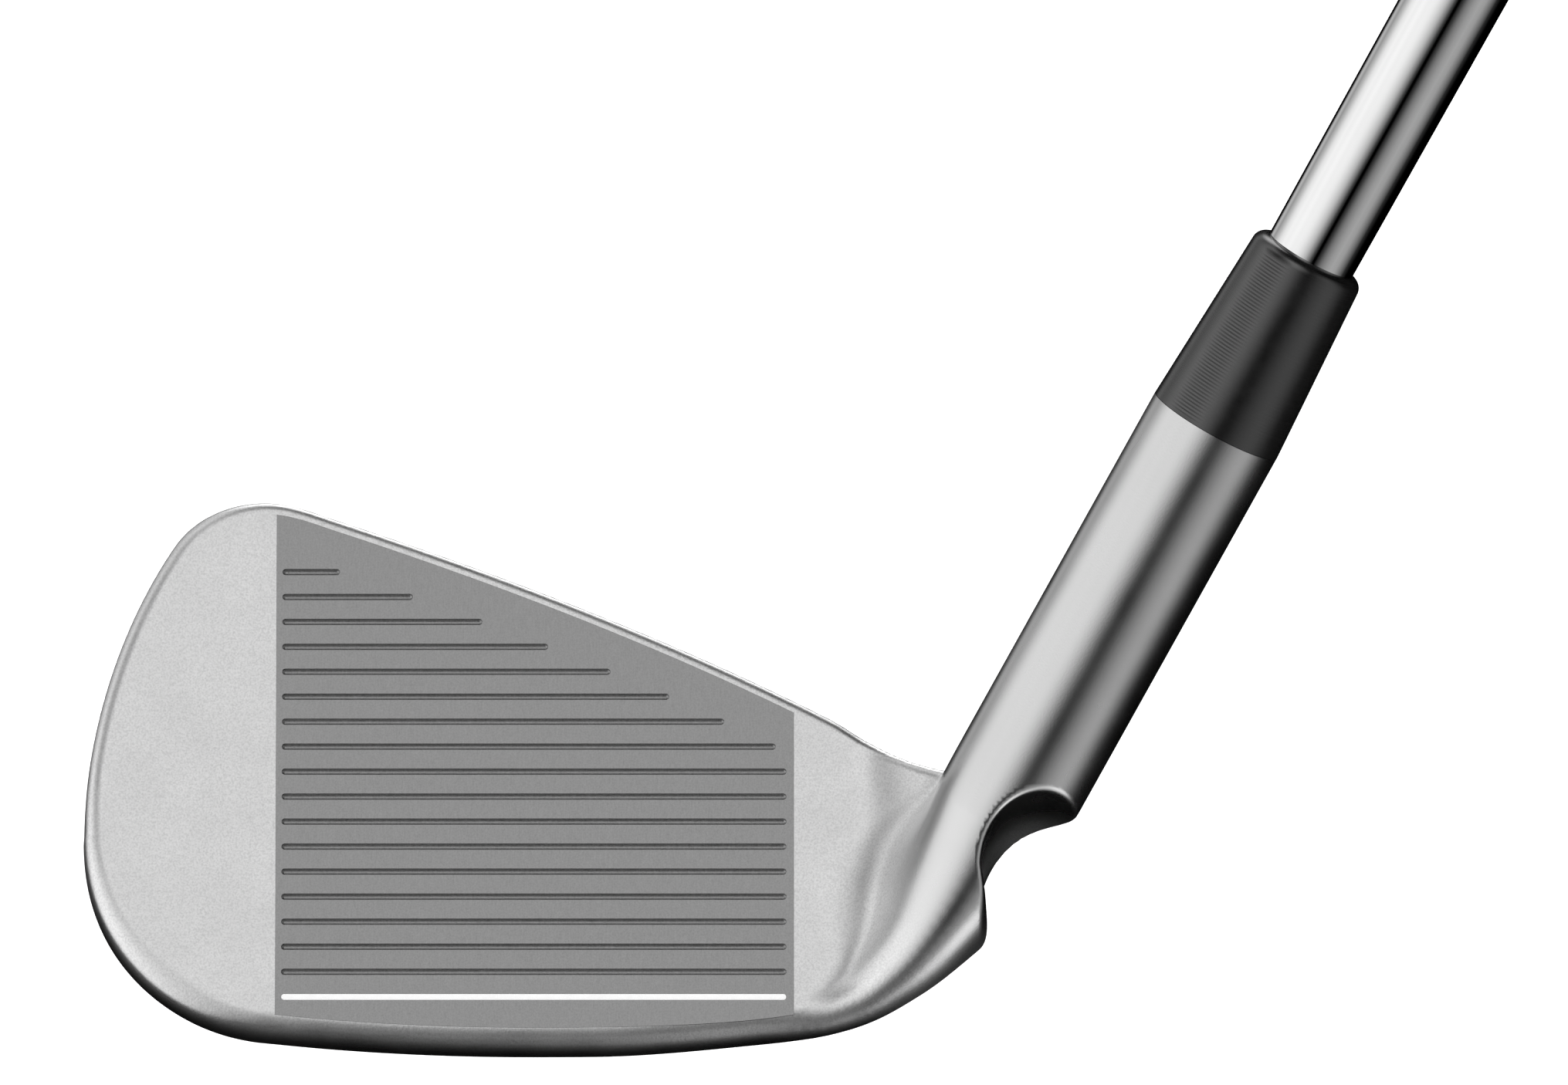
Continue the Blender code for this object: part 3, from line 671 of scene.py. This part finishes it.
def turnedPiece(name, profile, tree, values):
    # the profile closes on itself, so its first point is given again at the end
    points = [(r * mm, 0, z * mm) for r, z in list(profile) + [profile[0]]]
    mesh = bpy.data.meshes.new(name)
    mesh.from_pydata(points, [(i, i + 1) for i in range(len(points) - 1)], [])
    obj = addObject(name, mesh)
    runTree(obj, tree, values)
    baked = bakeModifiers(obj, shaftPlace)
    bm = bmesh.new()
    bm.from_mesh(baked)
    bmesh.ops.remove_doubles(bm, verts=bm.verts, dist=1e-6)
    bmesh.ops.dissolve_degenerate(bm, edges=bm.edges, dist=1e-7)
    bmesh.ops.recalc_face_normals(bm, faces=bm.faces)
    bm.to_mesh(baked)
    bm.free()
    sharpenEdges(baked)
    return obj


def plainRadius(tree, given, radius, height, angle):
    return radius


def ringRadius(tree, given, radius, height, angle):
    # fine turned rings between two heights, only on the outside
    turns = calc(tree, "DIVIDE", height, given.outputs["Ring Pitch"])
    wave = calc(tree, "SINE", times(tree, turns, 2 * math.pi))
    above = calc(tree, "GREATER_THAN", height, given.outputs["Ring From"])
    below = calc(tree, "LESS_THAN", height, given.outputs["Ring To"])
    outside = calc(tree, "GREATER_THAN", radius, given.outputs["Ring Inside"])
    mask = times(tree, times(tree, above, below), outside)
    ring = times(tree, times(tree, wave, mask), given.outputs["Ring Depth"])
    return plus(tree, radius, ring)


def gripRadius(tree, given, radius, height, angle):
    # two crossing helical grooves leave small diamonds
    turn = times(tree, angle, given.outputs["Grooves"])
    rise = times(tree, calc(tree, "DIVIDE", height, given.outputs["Groove Rise"]), 2 * math.pi)
    one = calc(tree, "COSINE", plus(tree, turn, rise))
    two = calc(tree, "COSINE", minus(tree, turn, rise))
    high = calc(tree, "MAXIMUM", one, two)
    groove = remap(tree, high, 0.72, 0.94, smooth=True)
    first, last = given.outputs["Pattern From"], given.outputs["Pattern To"]
    low = remap(tree, height, first, plus(tree, first, 0.002))
    top = remap(tree, height, last, minus(tree, last, 0.002))
    outside = calc(tree, "GREATER_THAN", radius, given.outputs["Pattern Inside"])
    mask = times(tree, times(tree, low, top), outside)
    return minus(tree, radius, times(tree, times(tree, groove, mask),
                                               given.outputs["Groove Depth"]))


def scoreLineTree(material):
    # one stretched ball a line: the half towards the toe moves to one end and the other half to the other end
    tree, given, end = newTree("scoreLines", {
        "Line Count": 18, "Line Pitch": 0.00254, "Lowest Line": 0.0076, "Groove Radius": 0.00034, "Sink": 0.00006,
        "Toe End": -0.0249, "Heel End": 0.02475, "Top At Middle": 0.045, "Top Slope": 0.5, "Top Bend": 0.0})
    pitch, lowest, radius = (given.outputs[label] for label in ("Line Pitch", "Lowest Line", "Groove Radius"))
    top, slope, bend = (given.outputs[label] for label in ("Top At Middle", "Top Slope", "Top Bend"))
    sunk = times(tree, given.outputs["Sink"], -1.0)
    points = node(tree, "GeometryNodeMeshLine", {
        "Count": given.outputs["Line Count"],
        "Start Location": node(tree, "ShaderNodeCombineXYZ", {"Y": lowest, "Z": sunk}).outputs[0],
        "Offset": node(tree, "ShaderNodeCombineXYZ", {"Y": pitch}).outputs[0]}, mode="OFFSET")
    ball = node(tree, "GeometryNodeMeshUVSphere", {"Segments": 20, "Rings": 9, "Radius": radius})
    laid = node(tree, "GeometryNodeTransform", {"Geometry": ball.outputs["Mesh"], "Rotation": (0, math.pi / 2, 0)})
    copies = node(tree, "GeometryNodeInstanceOnPoints", {"Points": points.outputs["Mesh"], "Instance": laid.outputs[0]})
    real = node(tree, "GeometryNodeRealizeInstances", {"Geometry": copies.outputs[0]})
    position = node(tree, "GeometryNodeInputPosition").outputs[0]
    parts = node(tree, "ShaderNodeSeparateXYZ", {0: position})
    lineNumber = calc(tree, "ROUND", calc(tree, "DIVIDE", minus(tree, parts.outputs["Y"], lowest), pitch))
    lineHeight = calc(tree, "MULTIPLY_ADD", lineNumber, pitch, lowest)
    # where the line would meet the slanting top margin, with the margin's slight bend
    straight = calc(tree, "DIVIDE", minus(tree, top, lineHeight), slope)
    sag = times(tree, bend, times(tree, straight, straight))
    bent = minus(tree, straight, calc(tree, "DIVIDE", sag, slope))
    heel = minus(tree, calc(tree, "MINIMUM", bent, given.outputs["Heel End"]), radius)
    toe = plus(tree, given.outputs["Toe End"], radius)
    right = calc(tree, "GREATER_THAN", parts.outputs["X"], 0.0)
    toeShift = times(tree, minus(tree, 1.0, right), toe)
    shift = plus(tree, times(tree, right, heel), toeShift)
    moved = node(tree, "GeometryNodeSetPosition", {"Geometry": real.outputs[0],
                 "Offset": node(tree, "ShaderNodeCombineXYZ", {"X": shift}).outputs[0]})
    carved = node(tree, "GeometryNodeMeshBoolean", {"Mesh 1": given.outputs["Geometry"], "Mesh 2": moved.outputs[0]},
                  operation="DIFFERENCE", solver="EXACT")
    whole = node(tree, "GeometryNodeRealizeInstances", {"Geometry": carved.outputs["Mesh"]})
    finish = node(tree, "GeometryNodeSetMaterial", {"Geometry": whole.outputs[0], "Material": material})
    tree.links.new(finish.outputs[0], end.inputs[0])
    return tree


def newMaterial(name, metallic=0.0, roughness=0.5, colour=(0.5, 0.5, 0.5), **sockets):
    made = bpy.data.materials.new(name)
    made.use_nodes = True
    tree = made.node_tree
    shader = tree.nodes["Principled BSDF"]
    shader.inputs["Metallic"].default_value = metallic
    shader.inputs["Roughness"].default_value = roughness
    shader.inputs["Base Color"].default_value = (*colour, 1)
    for label, value in sockets.items():
        shader.inputs[label.replace("_", " ")].default_value = value
    return made, tree, shader


def objectCoords(tree, scale=(1, 1, 1)):
    coords = node(tree, "ShaderNodeTexCoord").outputs["Object"]
    return node(tree, "ShaderNodeMapping", {"Vector": coords, "Scale": scale}).outputs[0]


def noise(tree, vector, scale, detail=3.0):
    return node(tree, "ShaderNodeTexNoise", {"Vector": vector, "Scale": scale, "Detail": detail}).outputs["Fac"]


def spread(tree, value, low, high):
    # noise stays mostly between 0.3 and 0.7
    return remap(tree, value, 0.3, 0.7, low, high)


def grey(tree, value):
    return node(tree, "ShaderNodeCombineColor", {"Red": value, "Green": value, "Blue": value}).outputs[0]


def addBump(tree, shader, height, strength, distance):
    bump = node(tree, "ShaderNodeBump", {"Height": height, "Strength": strength, "Distance": distance})
    tree.links.new(bump.outputs[0], shader.inputs["Normal"])


def depthBehindFace(tree):
    # metres behind the face plane, for finishes that stop at its edges
    coords = node(tree, "ShaderNodeTexCoord").outputs["Object"]
    loft = math.radians(head["loft"])
    along = dot(tree, coords, (0, math.cos(loft), -math.sin(loft)))
    return minus(tree, along, head["footY"] * mm * math.cos(loft))


def satinSteel():
    made, tree, shader = newMaterial("SatinSteel", 1.0, 0.3)
    coords = objectCoords(tree)
    depth = depthBehindFace(tree)
    # the face side is blasted, the rest is polished to a satin
    behind = remap(tree, depth, 0.0035, 0.0004, smooth=True)
    ahead = remap(tree, depth, -0.009, -0.0015, smooth=True)
    blasted = times(tree, behind, ahead)
    grain = noise(tree, coords, 5200, 2.0)
    cloud = noise(tree, coords, 160, 3.0)
    sparkle = times(tree, blasted, spread(tree, grain, 0.06, 0.30))
    tone = plus(tree, spread(tree, cloud, 0.72, 0.76), sparkle)
    tree.links.new(grey(tree, tone), shader.inputs["Base Color"])
    rough = plus(tree, spread(tree, cloud, 0.24, 0.28), times(tree, blasted, 0.13))
    tree.links.new(rough, shader.inputs["Roughness"])
    # painted light: the back is made partly non-metallic, so it reads lighter and greyer where the studio light leaves
    # it dark
    tree.links.new(remap(tree, depth, 0.005, 0.009, 1.0, 0.45), shader.inputs["Metallic"])
    height = times(tree, grain, remap(tree, blasted, 0.0, 1.0, 0.35, 1.0))
    addBump(tree, shader, height, 0.25, 0.00005)
    return made


def milledFace():
    made, tree, shader = newMaterial("MilledFaceSteel", 1.0, 0.42)
    coords = objectCoords(tree)
    grain = noise(tree, coords, 5200, 2.0)
    # fine cutter marks run up the face
    marks = noise(tree, objectCoords(tree, (1, 0.12, 0.12)), 9000, 2.0)
    both = calc(tree, "MULTIPLY_ADD", marks, 0.25, times(tree, grain, 0.75))
    tree.links.new(grey(tree, spread(tree, both, 0.36, 0.54)), shader.inputs["Base Color"])
    tree.links.new(spread(tree, grain, 0.38, 0.46), shader.inputs["Roughness"])
    addBump(tree, shader, both, 0.25, 0.00004)
    return made


def whitePaintWithPaintedGlow():
    # white paint with a painted glow: a weak white emission lights it up though it is no lamp
    made, tree, shader = newMaterial("WhitePaintPaintedGlow", 0.0, 0.4, Emission_Strength=0.35)
    shader.inputs["Emission Color"].default_value = (1, 1, 1, 1)
    speck = noise(tree, objectCoords(tree), 1500)
    tree.links.new(grey(tree, spread(tree, speck, 0.86, 0.93)), shader.inputs["Base Color"])
    addBump(tree, shader, speck, 0.2, 0.00003)
    return made


def heightUpShaft(tree):
    coords = node(tree, "ShaderNodeTexCoord").outputs["Object"]
    return dot(tree, coords, shaftAxis)


def blackFerrule():
    made, tree, shader = newMaterial("BlackFerrule", 0.0, 0.22, (0.004, 0.004, 0.004), IOR=2.0)
    lines = node(tree, "ShaderNodeTexNoise", {"W": heightUpShaft(tree), "Scale": 9000.0, "Detail": 2.0},
                 noise_dimensions="1D").outputs["Fac"]
    speck = noise(tree, objectCoords(tree), 900)
    tree.links.new(grey(tree, spread(tree, lines, 0.003, 0.009)), shader.inputs["Base Color"])
    tree.links.new(spread(tree, speck, 0.2, 0.26), shader.inputs["Roughness"])
    addBump(tree, shader, lines, 0.12, 0.00003)
    return made


def chromeShaft():
    made, tree, shader = newMaterial("ChromeShaft", 1.0, 0.06)
    cloud = noise(tree, objectCoords(tree), 90, 2.0)
    tree.links.new(grey(tree, spread(tree, cloud, 0.84, 0.87)), shader.inputs["Base Color"])
    tree.links.new(spread(tree, cloud, 0.05, 0.075), shader.inputs["Roughness"])
    addBump(tree, shader, cloud, 0.03, 0.00005)
    return made


def gripRubber():
    made, tree, shader = newMaterial("GripRubber", 0.0, 0.7)
    fine = noise(tree, objectCoords(tree), 2400, 3.0)
    cloud = noise(tree, objectCoords(tree), 60, 3.0)
    tree.links.new(grey(tree, spread(tree, cloud, 0.018, 0.03)), shader.inputs["Base Color"])
    tree.links.new(spread(tree, fine, 0.6, 0.78), shader.inputs["Roughness"])
    addBump(tree, shader, fine, 0.5, 0.00008)
    return made


def simpleFinish(name, low, high, metallic, roughness, scale, tint=(1.0, 1.0, 1.0), bump=0.2, stretch=(1, 1, 1)):
    made, tree, shader = newMaterial(name, metallic, roughness)
    grain = noise(tree, objectCoords(tree, stretch), scale, 3.0)
    tone = spread(tree, grain, low, high)
    colour = node(tree, "ShaderNodeCombineColor", {"Red": times(tree, tone, tint[0]),
                  "Green": times(tree, tone, tint[1]), "Blue": times(tree, tone, tint[2])})
    tree.links.new(colour.outputs[0], shader.inputs["Base Color"])
    tree.links.new(spread(tree, grain, roughness - 0.04, roughness + 0.05), shader.inputs["Roughness"])
    addBump(tree, shader, grain, bump, 0.00005)
    return made


steelLook = satinSteel()
faceLook = milledFace()
paintAndGlowLook = whitePaintWithPaintedGlow()
ferruleLook = blackFerrule()
chromeLook = chromeShaft()
rubberLook = gripRubber()
badgeLook = simpleFinish("BadgeAluminium", 0.30, 0.40, 0.55, 0.32, 900.0, bump=0.15, stretch=(0.04, 1, 1))
weightLook = simpleFinish("DarkTungsten", 0.20, 0.27, 0.6, 0.33, 1400.0)
elastomerLook = simpleFinish("BlackElastomer", 0.015, 0.03, 0.0, 0.75, 1800.0, bump=0.4)
epoxyLook = simpleFinish("AmberEpoxy", 0.35, 0.5, 0.0, 0.3, 700.0, (1.0, 0.8, 0.4))
tapeLook = simpleFinish("GripTape", 0.55, 0.7, 0.0, 0.8, 1600.0, (1.0, 0.95, 0.8), 0.4)
brassLook = simpleFinish("Brass", 0.6, 0.72, 1.0, 0.3, 1200.0, (1.0, 0.78, 0.4))
print("finishes made")


def ride(obj, slot, *nodes):
    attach(obj, "root")
    if nodes:
        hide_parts(*nodes)


def dress(nodeName, look):
    obj = bpy.data.objects[nodeName]
    for slot in obj.material_slots:
        slot.material = look


forged = buildHead()
forged.data.materials.clear()
forged.data.materials.append(steelLook)
ride(forged, "satin_steel", "head_body")
print("head made", len(forged.data.polygons), "faces")


def buildFacePlate():
    plate = addObject("MilledFacePlate", prism("MilledFacePlate", plateOutline(0), 0, facePlate["thickness"]))
    xs = np.linspace(-25, 24, 30)
    bend, slope, middle = np.polyfit(xs, topLine(xs) - facePlate["topMargin"], 2)
    half, depth = facePlate["lineWidth"] / 2, facePlate["lineDepth"]
    radius = (half ** 2 + depth ** 2) / (2 * depth)
    runTree(plate, scoreLineTree(faceLook), {
        "Line Count": facePlate["lineCount"], "Line Pitch": facePlate["linePitch"] * mm,
        "Lowest Line": facePlate["lowestLine"] * mm, "Groove Radius": radius * mm, "Sink": (depth - radius) * mm,
        "Toe End": facePlate["lineToe"] * mm, "Heel End": facePlate["lineHeel"] * mm,
        "Top At Middle": middle * mm, "Top Slope": -slope, "Top Bend": -bend / mm})
    mesh = bakeModifiers(plate, facePlace)
    sharpenEdges(mesh, 8)
    return plate


def buildPaint():
    half, depth = facePlate["lineWidth"] / 2, facePlate["lineDepth"]
    radius = (half ** 2 + depth ** 2) / (2 * depth)
    bm = bmesh.new()
    bmesh.ops.create_uvsphere(bm, u_segments=20, v_segments=9, radius=(radius - 0.03) * mm,
                              matrix=Matrix.Rotation(math.pi / 2, 4, "Y"))
    for v in bm.verts:
        v.co.z = min(v.co.z + (radius - depth) * mm, -0.04 * mm)
        end = facePlate["lineHeel"] - half if v.co.x > 0 else facePlate["lineToe"] + half
        v.co.x += end * mm
        v.co.y += facePlate["lowestLine"] * mm
    bmesh.ops.recalc_face_normals(bm, faces=bm.faces)
    mesh = bpy.data.meshes.new("ScoreLinePaint")
    bm.to_mesh(mesh)
    bm.free()
    mesh.transform(facePlace)
    mesh.materials.append(paintAndGlowLook)
    return addObject("ScoreLinePaint", mesh)


plate = buildFacePlate()
ride(plate, "milled_face_steel", "face_plate")
paint = buildPaint()
ride(paint, "white_paint", "score_line_paint")
print("face made", len(plate.data.polygons), "faces")

ferrule = {
    "length": 19.3,
    "topRadius": 5.85,
    "edge": 1.2,
    "boreLow": 4.56,
    "boreHigh": 4.68,
    "ringPitch": 0.34,
    "ringDepth": 0.007,
    "sides": 96,
}


def buildFerrule():
    low, high = hosel["top"] + 0.05, hosel["top"] + ferrule["length"]
    edge = ferrule["edge"]
    crown = arcPoints(ferrule["topRadius"] - edge, high - edge, edge, 90, 0, 9)
    wall = [(mix(ferrule["topRadius"], hosel["radius"], t), mix(high - edge, low, t)) for t in np.linspace(0, 1, 210)[1:]]
    profile = [(ferrule["boreHigh"], high)] + [tuple(p) for p in crown] + wall + [(ferrule["boreLow"], low)]
    tree = turnTree("turnedRings", ferruleLook, {"Ring Pitch": 0.0004, "Ring Depth": 0.00001, "Ring From": 0.07,
                                                 "Ring To": 0.09, "Ring Inside": 0.005}, ringRadius)
    return turnedPiece("TurnedFerrule", profile, tree, {
        "Sides": ferrule["sides"], "Ring Pitch": ferrule["ringPitch"] * mm, "Ring Depth": ferrule["ringDepth"] * mm,
        "Ring From": (low + 0.3) * mm, "Ring To": (high - edge - 0.2) * mm, "Ring Inside": 5.2 * mm})


collar = buildFerrule()
ride(collar, "black_ferrule", "ferrule")
print("ferrule made")

shaft = {
    "tipRadius": 4.51,
    "parallelTip": 33.0,
    "firstStep": 190.0,
    "firstStepRadius": 5.22,
    "buttRadius": 7.62,
    "stepCount": 13,
    "stepLength": 38.0,
    "stepSlope": 1.5,
    "walls": (0.7, 0.46, 0.34),
    "sides": 96,
}


def shaftProfile():
    tip = hosel["top"] - hosel["boreDepth"] + 0.05
    end = tip + club["length"] - 3.5 - (hosel["top"] - hosel["boreDepth"])
    points = [(shaft["tipRadius"], 0), (shaft["tipRadius"], shaft["parallelTip"])]
    taper = np.linspace(shaft["parallelTip"], shaft["firstStep"], 12)[1:]
    points += [(np.interp(s, (33.0, 190.0), (shaft["tipRadius"], shaft["firstStepRadius"])), s) for s in taper]
    rise = (shaft["buttRadius"] - shaft["firstStepRadius"]) / shaft["stepCount"]
    for i in range(shaft["stepCount"]):
        start = shaft["firstStep"] + i * shaft["stepLength"]
        for t in (0.25, 0.5, 0.75, 1.0):
            points.append((shaft["firstStepRadius"] + (i + float(ease(t))) * rise, start + t * shaft["stepSlope"]))
        if i < shaft["stepCount"] - 1:
            points.append((points[-1][0], start + shaft["stepLength"]))
    outer = [(r, tip + s) for r, s in points] + [(shaft["buttRadius"], end)]
    tipWall, stepWall, buttWall = shaft["walls"]
    inner = [(shaft["buttRadius"] - buttWall, end),
             (shaft["buttRadius"] - buttWall, tip + shaft["firstStep"] + shaft["stepCount"] * shaft["stepLength"]),
             (shaft["firstStepRadius"] - stepWall, tip + shaft["firstStep"]), (shaft["tipRadius"] - tipWall, tip)]
    return outer + inner


shaftTree = turnTree("turnedPlain", chromeLook, {}, plainRadius)
tube = turnedPiece("SteppedShaft", shaftProfile(), shaftTree, {"Sides": shaft["sides"]})
ride(tube, "chrome_shaft", "shaft")
print("shaft made")

grip = {
    "length": 267.0,
    "capLength": 7.0,
    "mouthRadius": 8.7,
    "capRadius": 13.6,
    "bore": 7.97,
    "grooves": 12,
    "grooveRise": 14.0,
    "grooveDepth": 0.35,
    "sides": 144,
    "ventRadius": 1.6,
}


def buildGrip():
    top, mouth = club["length"] - grip["capLength"], club["length"] - grip["length"]
    profile = [(8.1, mouth), (8.45, mouth + 0.35)]
    for share in np.linspace(0.006, 1.0, 330):
        swell = mix(grip["mouthRadius"], grip["capRadius"] - 2.2, share)
        profile.append((swell + 2.2 * float(ease((share - 0.82) / 0.18)), mix(mouth, top, share)))
    profile += [(grip["bore"], top), (grip["bore"], mouth)]
    tree = turnTree("mouldedGrip", rubberLook, {"Grooves": 12.0, "Groove Rise": 0.014, "Groove Depth": 0.0003,
                    "Pattern From": 0.71, "Pattern To": 0.93, "Pattern Inside": 0.0082}, gripRadius)
    return turnedPiece("MouldedGrip", profile, tree, {
        "Sides": grip["sides"], "Grooves": float(grip["grooves"]), "Groove Rise": grip["grooveRise"] * mm,
        "Groove Depth": grip["grooveDepth"] * mm, "Pattern From": (mouth + 14) * mm, "Pattern To": (top - 22) * mm,
        "Pattern Inside": 8.2 * mm})


def buildCap():
    low, high = club["length"] - grip["capLength"] + 0.05, club["length"]
    crown = arcPoints(grip["capRadius"] - 3, high - 3, 3, 90, 0, 12)
    # a shallow ring is moulded round the vent
    dish = [(grip["ventRadius"], high - 0.5), (2.6, high - 0.5), (3.1, high - 0.02), (8.0, high), (8.4, high - 0.35),
            (8.9, high - 0.35), (9.3, high)]
    hollow = 7.62 + 0.25 + 0.15
    butt = club["length"] - 3.4
    inside = [(grip["capRadius"], low), (hollow, low), (hollow, butt), (grip["ventRadius"], butt)]
    profile = dish + [tuple(p) for p in crown] + inside
    return turnedPiece("GripCap", profile, turnTree("turnedCap", rubberLook, {}, plainRadius), {"Sides": grip["sides"]})


sleeve = buildGrip()
ride(sleeve, "grip_rubber", "grip")
cap = buildCap()
ride(cap, "grip_rubber", "grip_cap")
print("grip made", len(sleeve.data.polygons), "faces")

dress("cavity_badge", badgeLook)
dress("tuning_weight", weightLook)
dress("toe_weight", weightLook)
dress("damping_insert", elastomerLook)
dress("hosel_epoxy", epoxyLook)
dress("grip_tape", tapeLook)
dress("swingweight_plug", brassLook)

studio = {
    "lens": 800.0,
    "frameWidth": 153.9,
    "elevation": 11.0,
    "lookAt": (24.5, 0.0, 50.8),
    "strength": 1.22,
    # light around the shaft: degrees from the front, minus to the upper left, and brightness
    "strips": ((-180, 0.02), (-170, 0.12), (-160, 0.34), (-150, 0.48), (-136, 0.44), (-122, 0.28), (-108, 0.46),
               (-94, 0.72), (-80, 0.847), (-60, 0.87), (-44, 0.84), (-32, 0.78), (-22, 0.64), (-12, 0.46),
               (-4, 0.25), (5, 0.05), (11, 0.0), (16, 0.0), (24, 0.045), (36, 0.175), (49, 0.28), (62, 0.34),
               (75, 0.30), (90, 0.15), (104, 0.02), (120, 0.001)),
    # soft round patches: direction, clear and far edge in degrees, brightness or darkening
    "lights": (((0.45, -0.25, -0.857), 5, 21, 0.75),  # under the heel
               ((0.15, 0.66, 0.73), 8, 26, 1.5),  # along the topline
               ((0.0, -0.755, 0.656), 6, 30, 0.34)),  # on the face
    "shades": (((0.479, 0.0, 0.878), 20, 50, 0.95),  # up the shaft
               ((0.0, -0.15, 0.99), 10, 28, 0.7),  # overhead
               ((-0.1, -0.15, -0.98), 22, 38, 1.0),  # under the sole
               ((-0.6, 0.3, -0.74), 24, 44, 0.97),  # under the toe
               ((-0.52, -0.54, 0.66), 11, 30, 0.75),  # both in the hollow beside the hosel
               ((-0.72, -0.22, 0.66), 10, 24, 0.6),
               ((0.0, 0.98, -0.05), 24, 42, 1.0)),  # straight behind
    "behind": (0.2, 0.5),
    "below": (0.10, -0.04),
}


def buildCamera():
    data = bpy.data.cameras.new("camera")
    data.lens = studio["lens"]
    data.sensor_width = 36
    data.clip_end = 100
    obj = bpy.data.objects.new("camera", data)
    bpy.context.scene.collection.objects.link(obj)
    angle = math.radians(studio["elevation"])
    away = Vector((0, -math.cos(angle), math.sin(angle)))
    target = Vector(studio["lookAt"]) * mm
    obj.location = target + away * studio["frameWidth"] * mm * studio["lens"] / 36
    obj.rotation_euler = away.to_track_quat("Z", "Y").to_euler()
    bpy.context.scene.camera = obj
    return away


def buildWorld(away):
    world = bpy.data.worlds.new("studio")
    bpy.context.scene.world = world
    world.use_nodes = True
    tree = world.node_tree
    tree.nodes.clear()
    out = tree.nodes.new("ShaderNodeOutputWorld")
    front = (away - shaftAxis * away.dot(shaftAxis)).normalized()
    left = front.cross(shaftAxis).normalized()
    if left.x > 0:
        left = -left
    direction = node(tree, "ShaderNodeTexCoord").outputs["Generated"]
    ahead = dot(tree, direction, front)
    aside = dot(tree, direction, -left)
    angle = calc(tree, "ARCTAN2", aside, ahead)
    place = remap(tree, angle, -math.pi, math.pi)
    ramp = node(tree, "ShaderNodeValToRGB", {"Fac": place})
    elements = ramp.color_ramp.elements
    elements[0].position, elements[1].position = 0.0, 1.0
    strips = studio["strips"]
    elements[0].color = (*[strips[0][1]] * 3, 1)
    elements[1].color = (*[strips[0][1]] * 3, 1)
    for degrees, light in strips[1:]:
        made = elements.new((degrees + 180) / 360)
        made.color = (light, light, light, 1)
    parts = node(tree, "ShaderNodeSeparateXYZ", {0: direction})

    def patch(towards, clear, far):
        near = dot(tree, direction, Vector(towards).normalized())
        return remap(tree, near, math.cos(math.radians(far)), math.cos(math.radians(clear)), smooth=True)

    # nothing lights the object from behind and below
    behind = remap(tree, parts.outputs["Y"], *studio["behind"])
    below = remap(tree, parts.outputs["Z"], *studio["below"])
    glow = times(tree, ramp.outputs["Color"], minus(tree, 1.0, times(tree, behind, below)))
    for towards, clear, far, amount in studio["shades"]:
        glow = times(tree, glow, calc(tree, "MULTIPLY_ADD", patch(towards, clear, far), -amount, 1.0))
    for towards, clear, far, amount in studio["lights"]:
        glow = calc(tree, "MULTIPLY_ADD", patch(towards, clear, far), amount, glow)
    light = node(tree, "ShaderNodeBackground", {"Color": grey(tree, glow), "Strength": studio["strength"]})
    backdrop = node(tree, "ShaderNodeBackground", {"Color": (1, 1, 1, 1), "Strength": 1.0})
    rays = node(tree, "ShaderNodeLightPath")
    seen = rays.outputs["Is Camera Ray"]
    both = node(tree, "ShaderNodeMixShader", {0: seen, 1: light.outputs[0], 2: backdrop.outputs[0]})
    tree.links.new(both.outputs[0], out.inputs["Surface"])


def buildFloor():
    mesh = setMesh("floor", np.array([(-3, -3, 0), (3, -3, 0), (3, 3, 0), (-3, 3, 0)], float), np.array([(0, 1, 2, 3)]))
    mesh.transform(Matrix.Translation((0, 0, -0.0005)))
    made, tree, shader = newMaterial("PaleFloor", 0.0, 0.9, (0.9, 0.9, 0.9), Emission_Strength=1.0)
    shader.inputs["Emission Color"].default_value = (1, 1, 1, 1)
    mesh.materials.append(made)
    floor = addObject("floor", mesh)
    floor.visible_glossy = False
    floor.visible_diffuse = True
    floor.visible_shadow = False


away = buildCamera()
buildWorld(away)
buildFloor()
bpy.context.scene.view_settings.view_transform = "Standard"
bpy.context.scene.view_settings.look = "None"
print("studio made")
